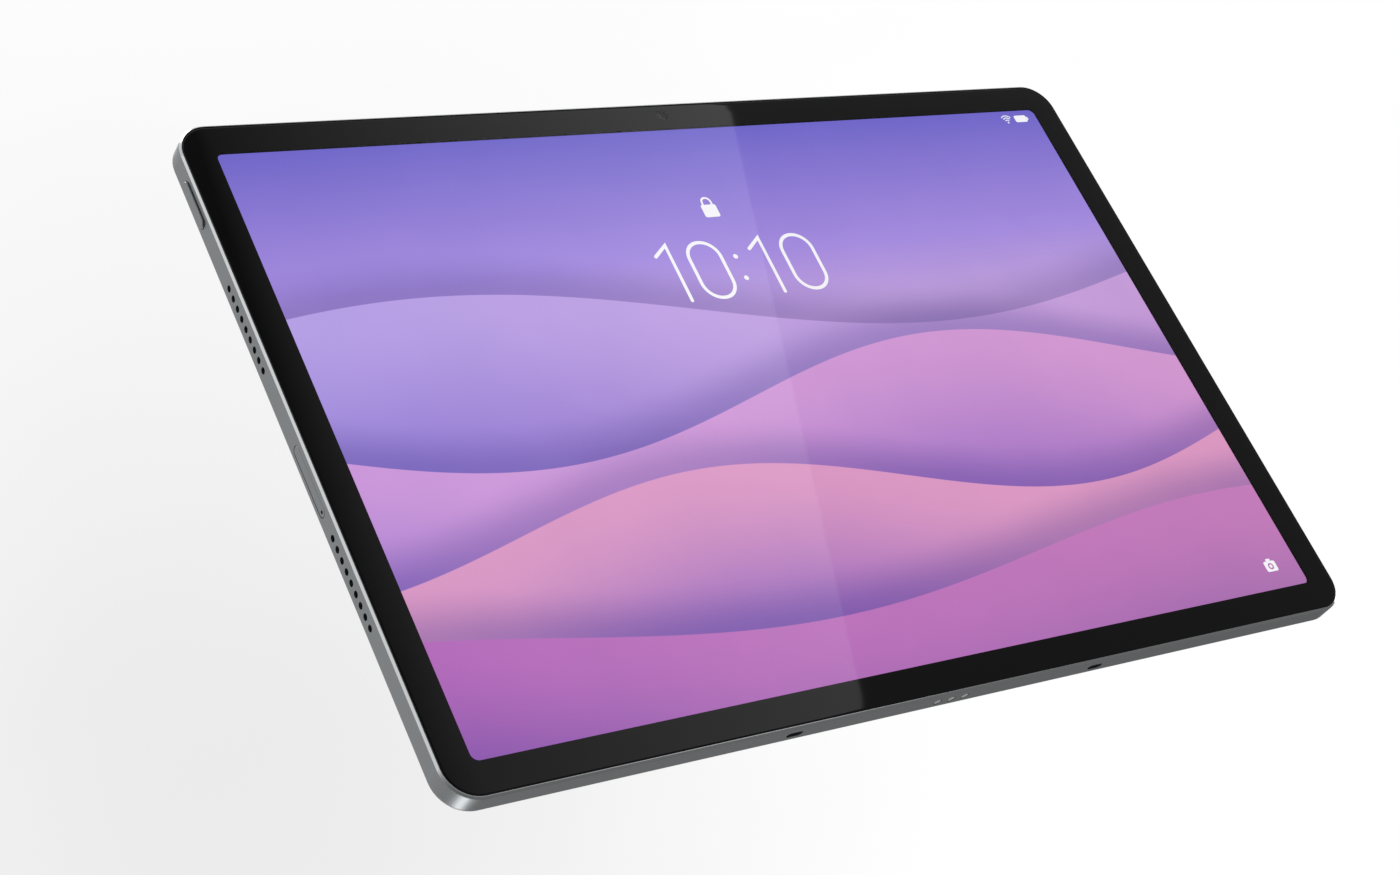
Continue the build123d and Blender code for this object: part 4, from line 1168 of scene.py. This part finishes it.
def add_room_light():
    """Soft light from all round: brightest high behind the tablet, dimmest low in front."""
    world = bpy.data.worlds.new("studio_world")
    bpy.context.scene.world = world
    world.use_nodes = True
    tree = world.node_tree
    tree.nodes.clear()
    kinds = ("OutputWorld", "Background", "TexCoord", "VectorMath", "MapRange")
    out, background, place, toward, ramp = [tree.nodes.new("ShaderNode" + kind) for kind in kinds]
    toward.operation = "DOT_PRODUCT"
    toward.inputs[1].default_value = ROOM_TOWARD
    ramp.interpolation_type = "SMOOTHSTEP"
    limits = ("From Min", "From Max", "To Min", "To Max")
    for key, value in zip(limits, ROOM_SPAN + ROOM_GLOW):
        ramp.inputs[key].default_value = value
    tree.links.new(place.outputs["Generated"], toward.inputs[0])
    tree.links.new(toward.outputs["Value"], ramp.inputs["Value"])
    tree.links.new(ramp.outputs[0], background.inputs["Strength"])
    tree.links.new(background.outputs[0], out.inputs["Surface"])


# The card's straight edge, as the main view sees it reflected in the glass.
CARD_Y = -1.2
EDGE_TOP = Vector((0.025, GLASS_Y, 0.189))
EDGE_FOOT = Vector((-0.030, GLASS_Y, 0.0))
CARD_RISE = 0.6                  # the edge runs on past both ends by this share
CARD_WIDTH = 1.3
CARD_FADE = 0.62                 # the card dims over this width
CARD_DIM = 0.08
CARD_FOOT_GLOW = 0.78


def mirrored_in_glass(place):
    """Where the main view's reflected ray through a place on the glass meets the card's plane."""
    eye = Vector((EYE.x, 2 * GLASS_Y - EYE.y, EYE.z))
    ray = place - eye
    return place + ray * ((CARD_Y - place.y) / ray.y)


def card_glow(top, foot):
    """White card, brightest at the top of its straight edge, fading away from it and downwards."""
    s = Shader("card_glow")
    x, z = s.axis("X"), s.axis("Z")
    slope = (top.x - foot.x) / (top.z - foot.z)
    edge_x = s.math("MULTIPLY_ADD", z, slope, foot.x - foot.z * slope)
    from_edge = s.math("SUBTRACT", edge_x, x)
    sideways = s.remap(from_edge, 0.0, CARD_FADE, 1.0, CARD_DIM)
    height = s.remap(z, foot.z, top.z, CARD_FOOT_GLOW, 1.0)
    return s.done(s.add("Emission", {"Strength": s.math("MULTIPLY", sideways, height)}))


def add_card():
    """Large white card to one side, seen only as the sheen on the glass."""
    top = mirrored_in_glass(EDGE_TOP)
    foot = mirrored_in_glass(EDGE_FOOT)
    rise = (top - foot) * CARD_RISE
    high, low = top + rise, foot - rise
    aside = Vector((-CARD_WIDTH, 0, 0))
    bm = bmesh.new()
    bm.faces.new([bm.verts.new(p) for p in (low, high, high + aside, low + aside)])
    card = studio_object("studio_card", bm, card_glow(top, foot), ("camera", "diffuse", "shadow"))


LIGHT_TARGET = (0, 0, 0.1)
SOFTBOXES = {                    # place, width, height, and power in watts
    "top_softbox": ((-0.3, 0.5, 1.9), 1.1, 1.1, 16),
    "side_softbox": ((1.8, 0.5, 0.5), 1.0, 1.4, 8),
    "corner_softbox": ((-0.45, 1.55, -1.4), 0.5, 0.5, 10),
    "rim_softbox": ((-1.6, -1.3, 0.95), 1.2, 1.2, 1.4),
}


def add_softbox(name, place, width, height, power):
    """A rectangular area light that points at the tablet."""
    data = bpy.data.lights.new(name, "AREA")
    data.shape = "RECTANGLE"
    data.size = width
    data.size_y = height
    data.energy = power
    light = bpy.data.objects.new(name, data)
    bpy.context.scene.collection.objects.link(light)
    light.rotation_euler = (Vector(LIGHT_TARGET) - Vector(place)).to_track_quat("-Z", "Y").to_euler()
    light.location = place
    light.visible_camera = False


add_camera()
add_bowl()
add_room_light()
add_card()
for softbox, settings in SOFTBOXES.items():
    add_softbox(softbox, *settings)
bpy.context.scene.view_settings.view_transform = "Standard"
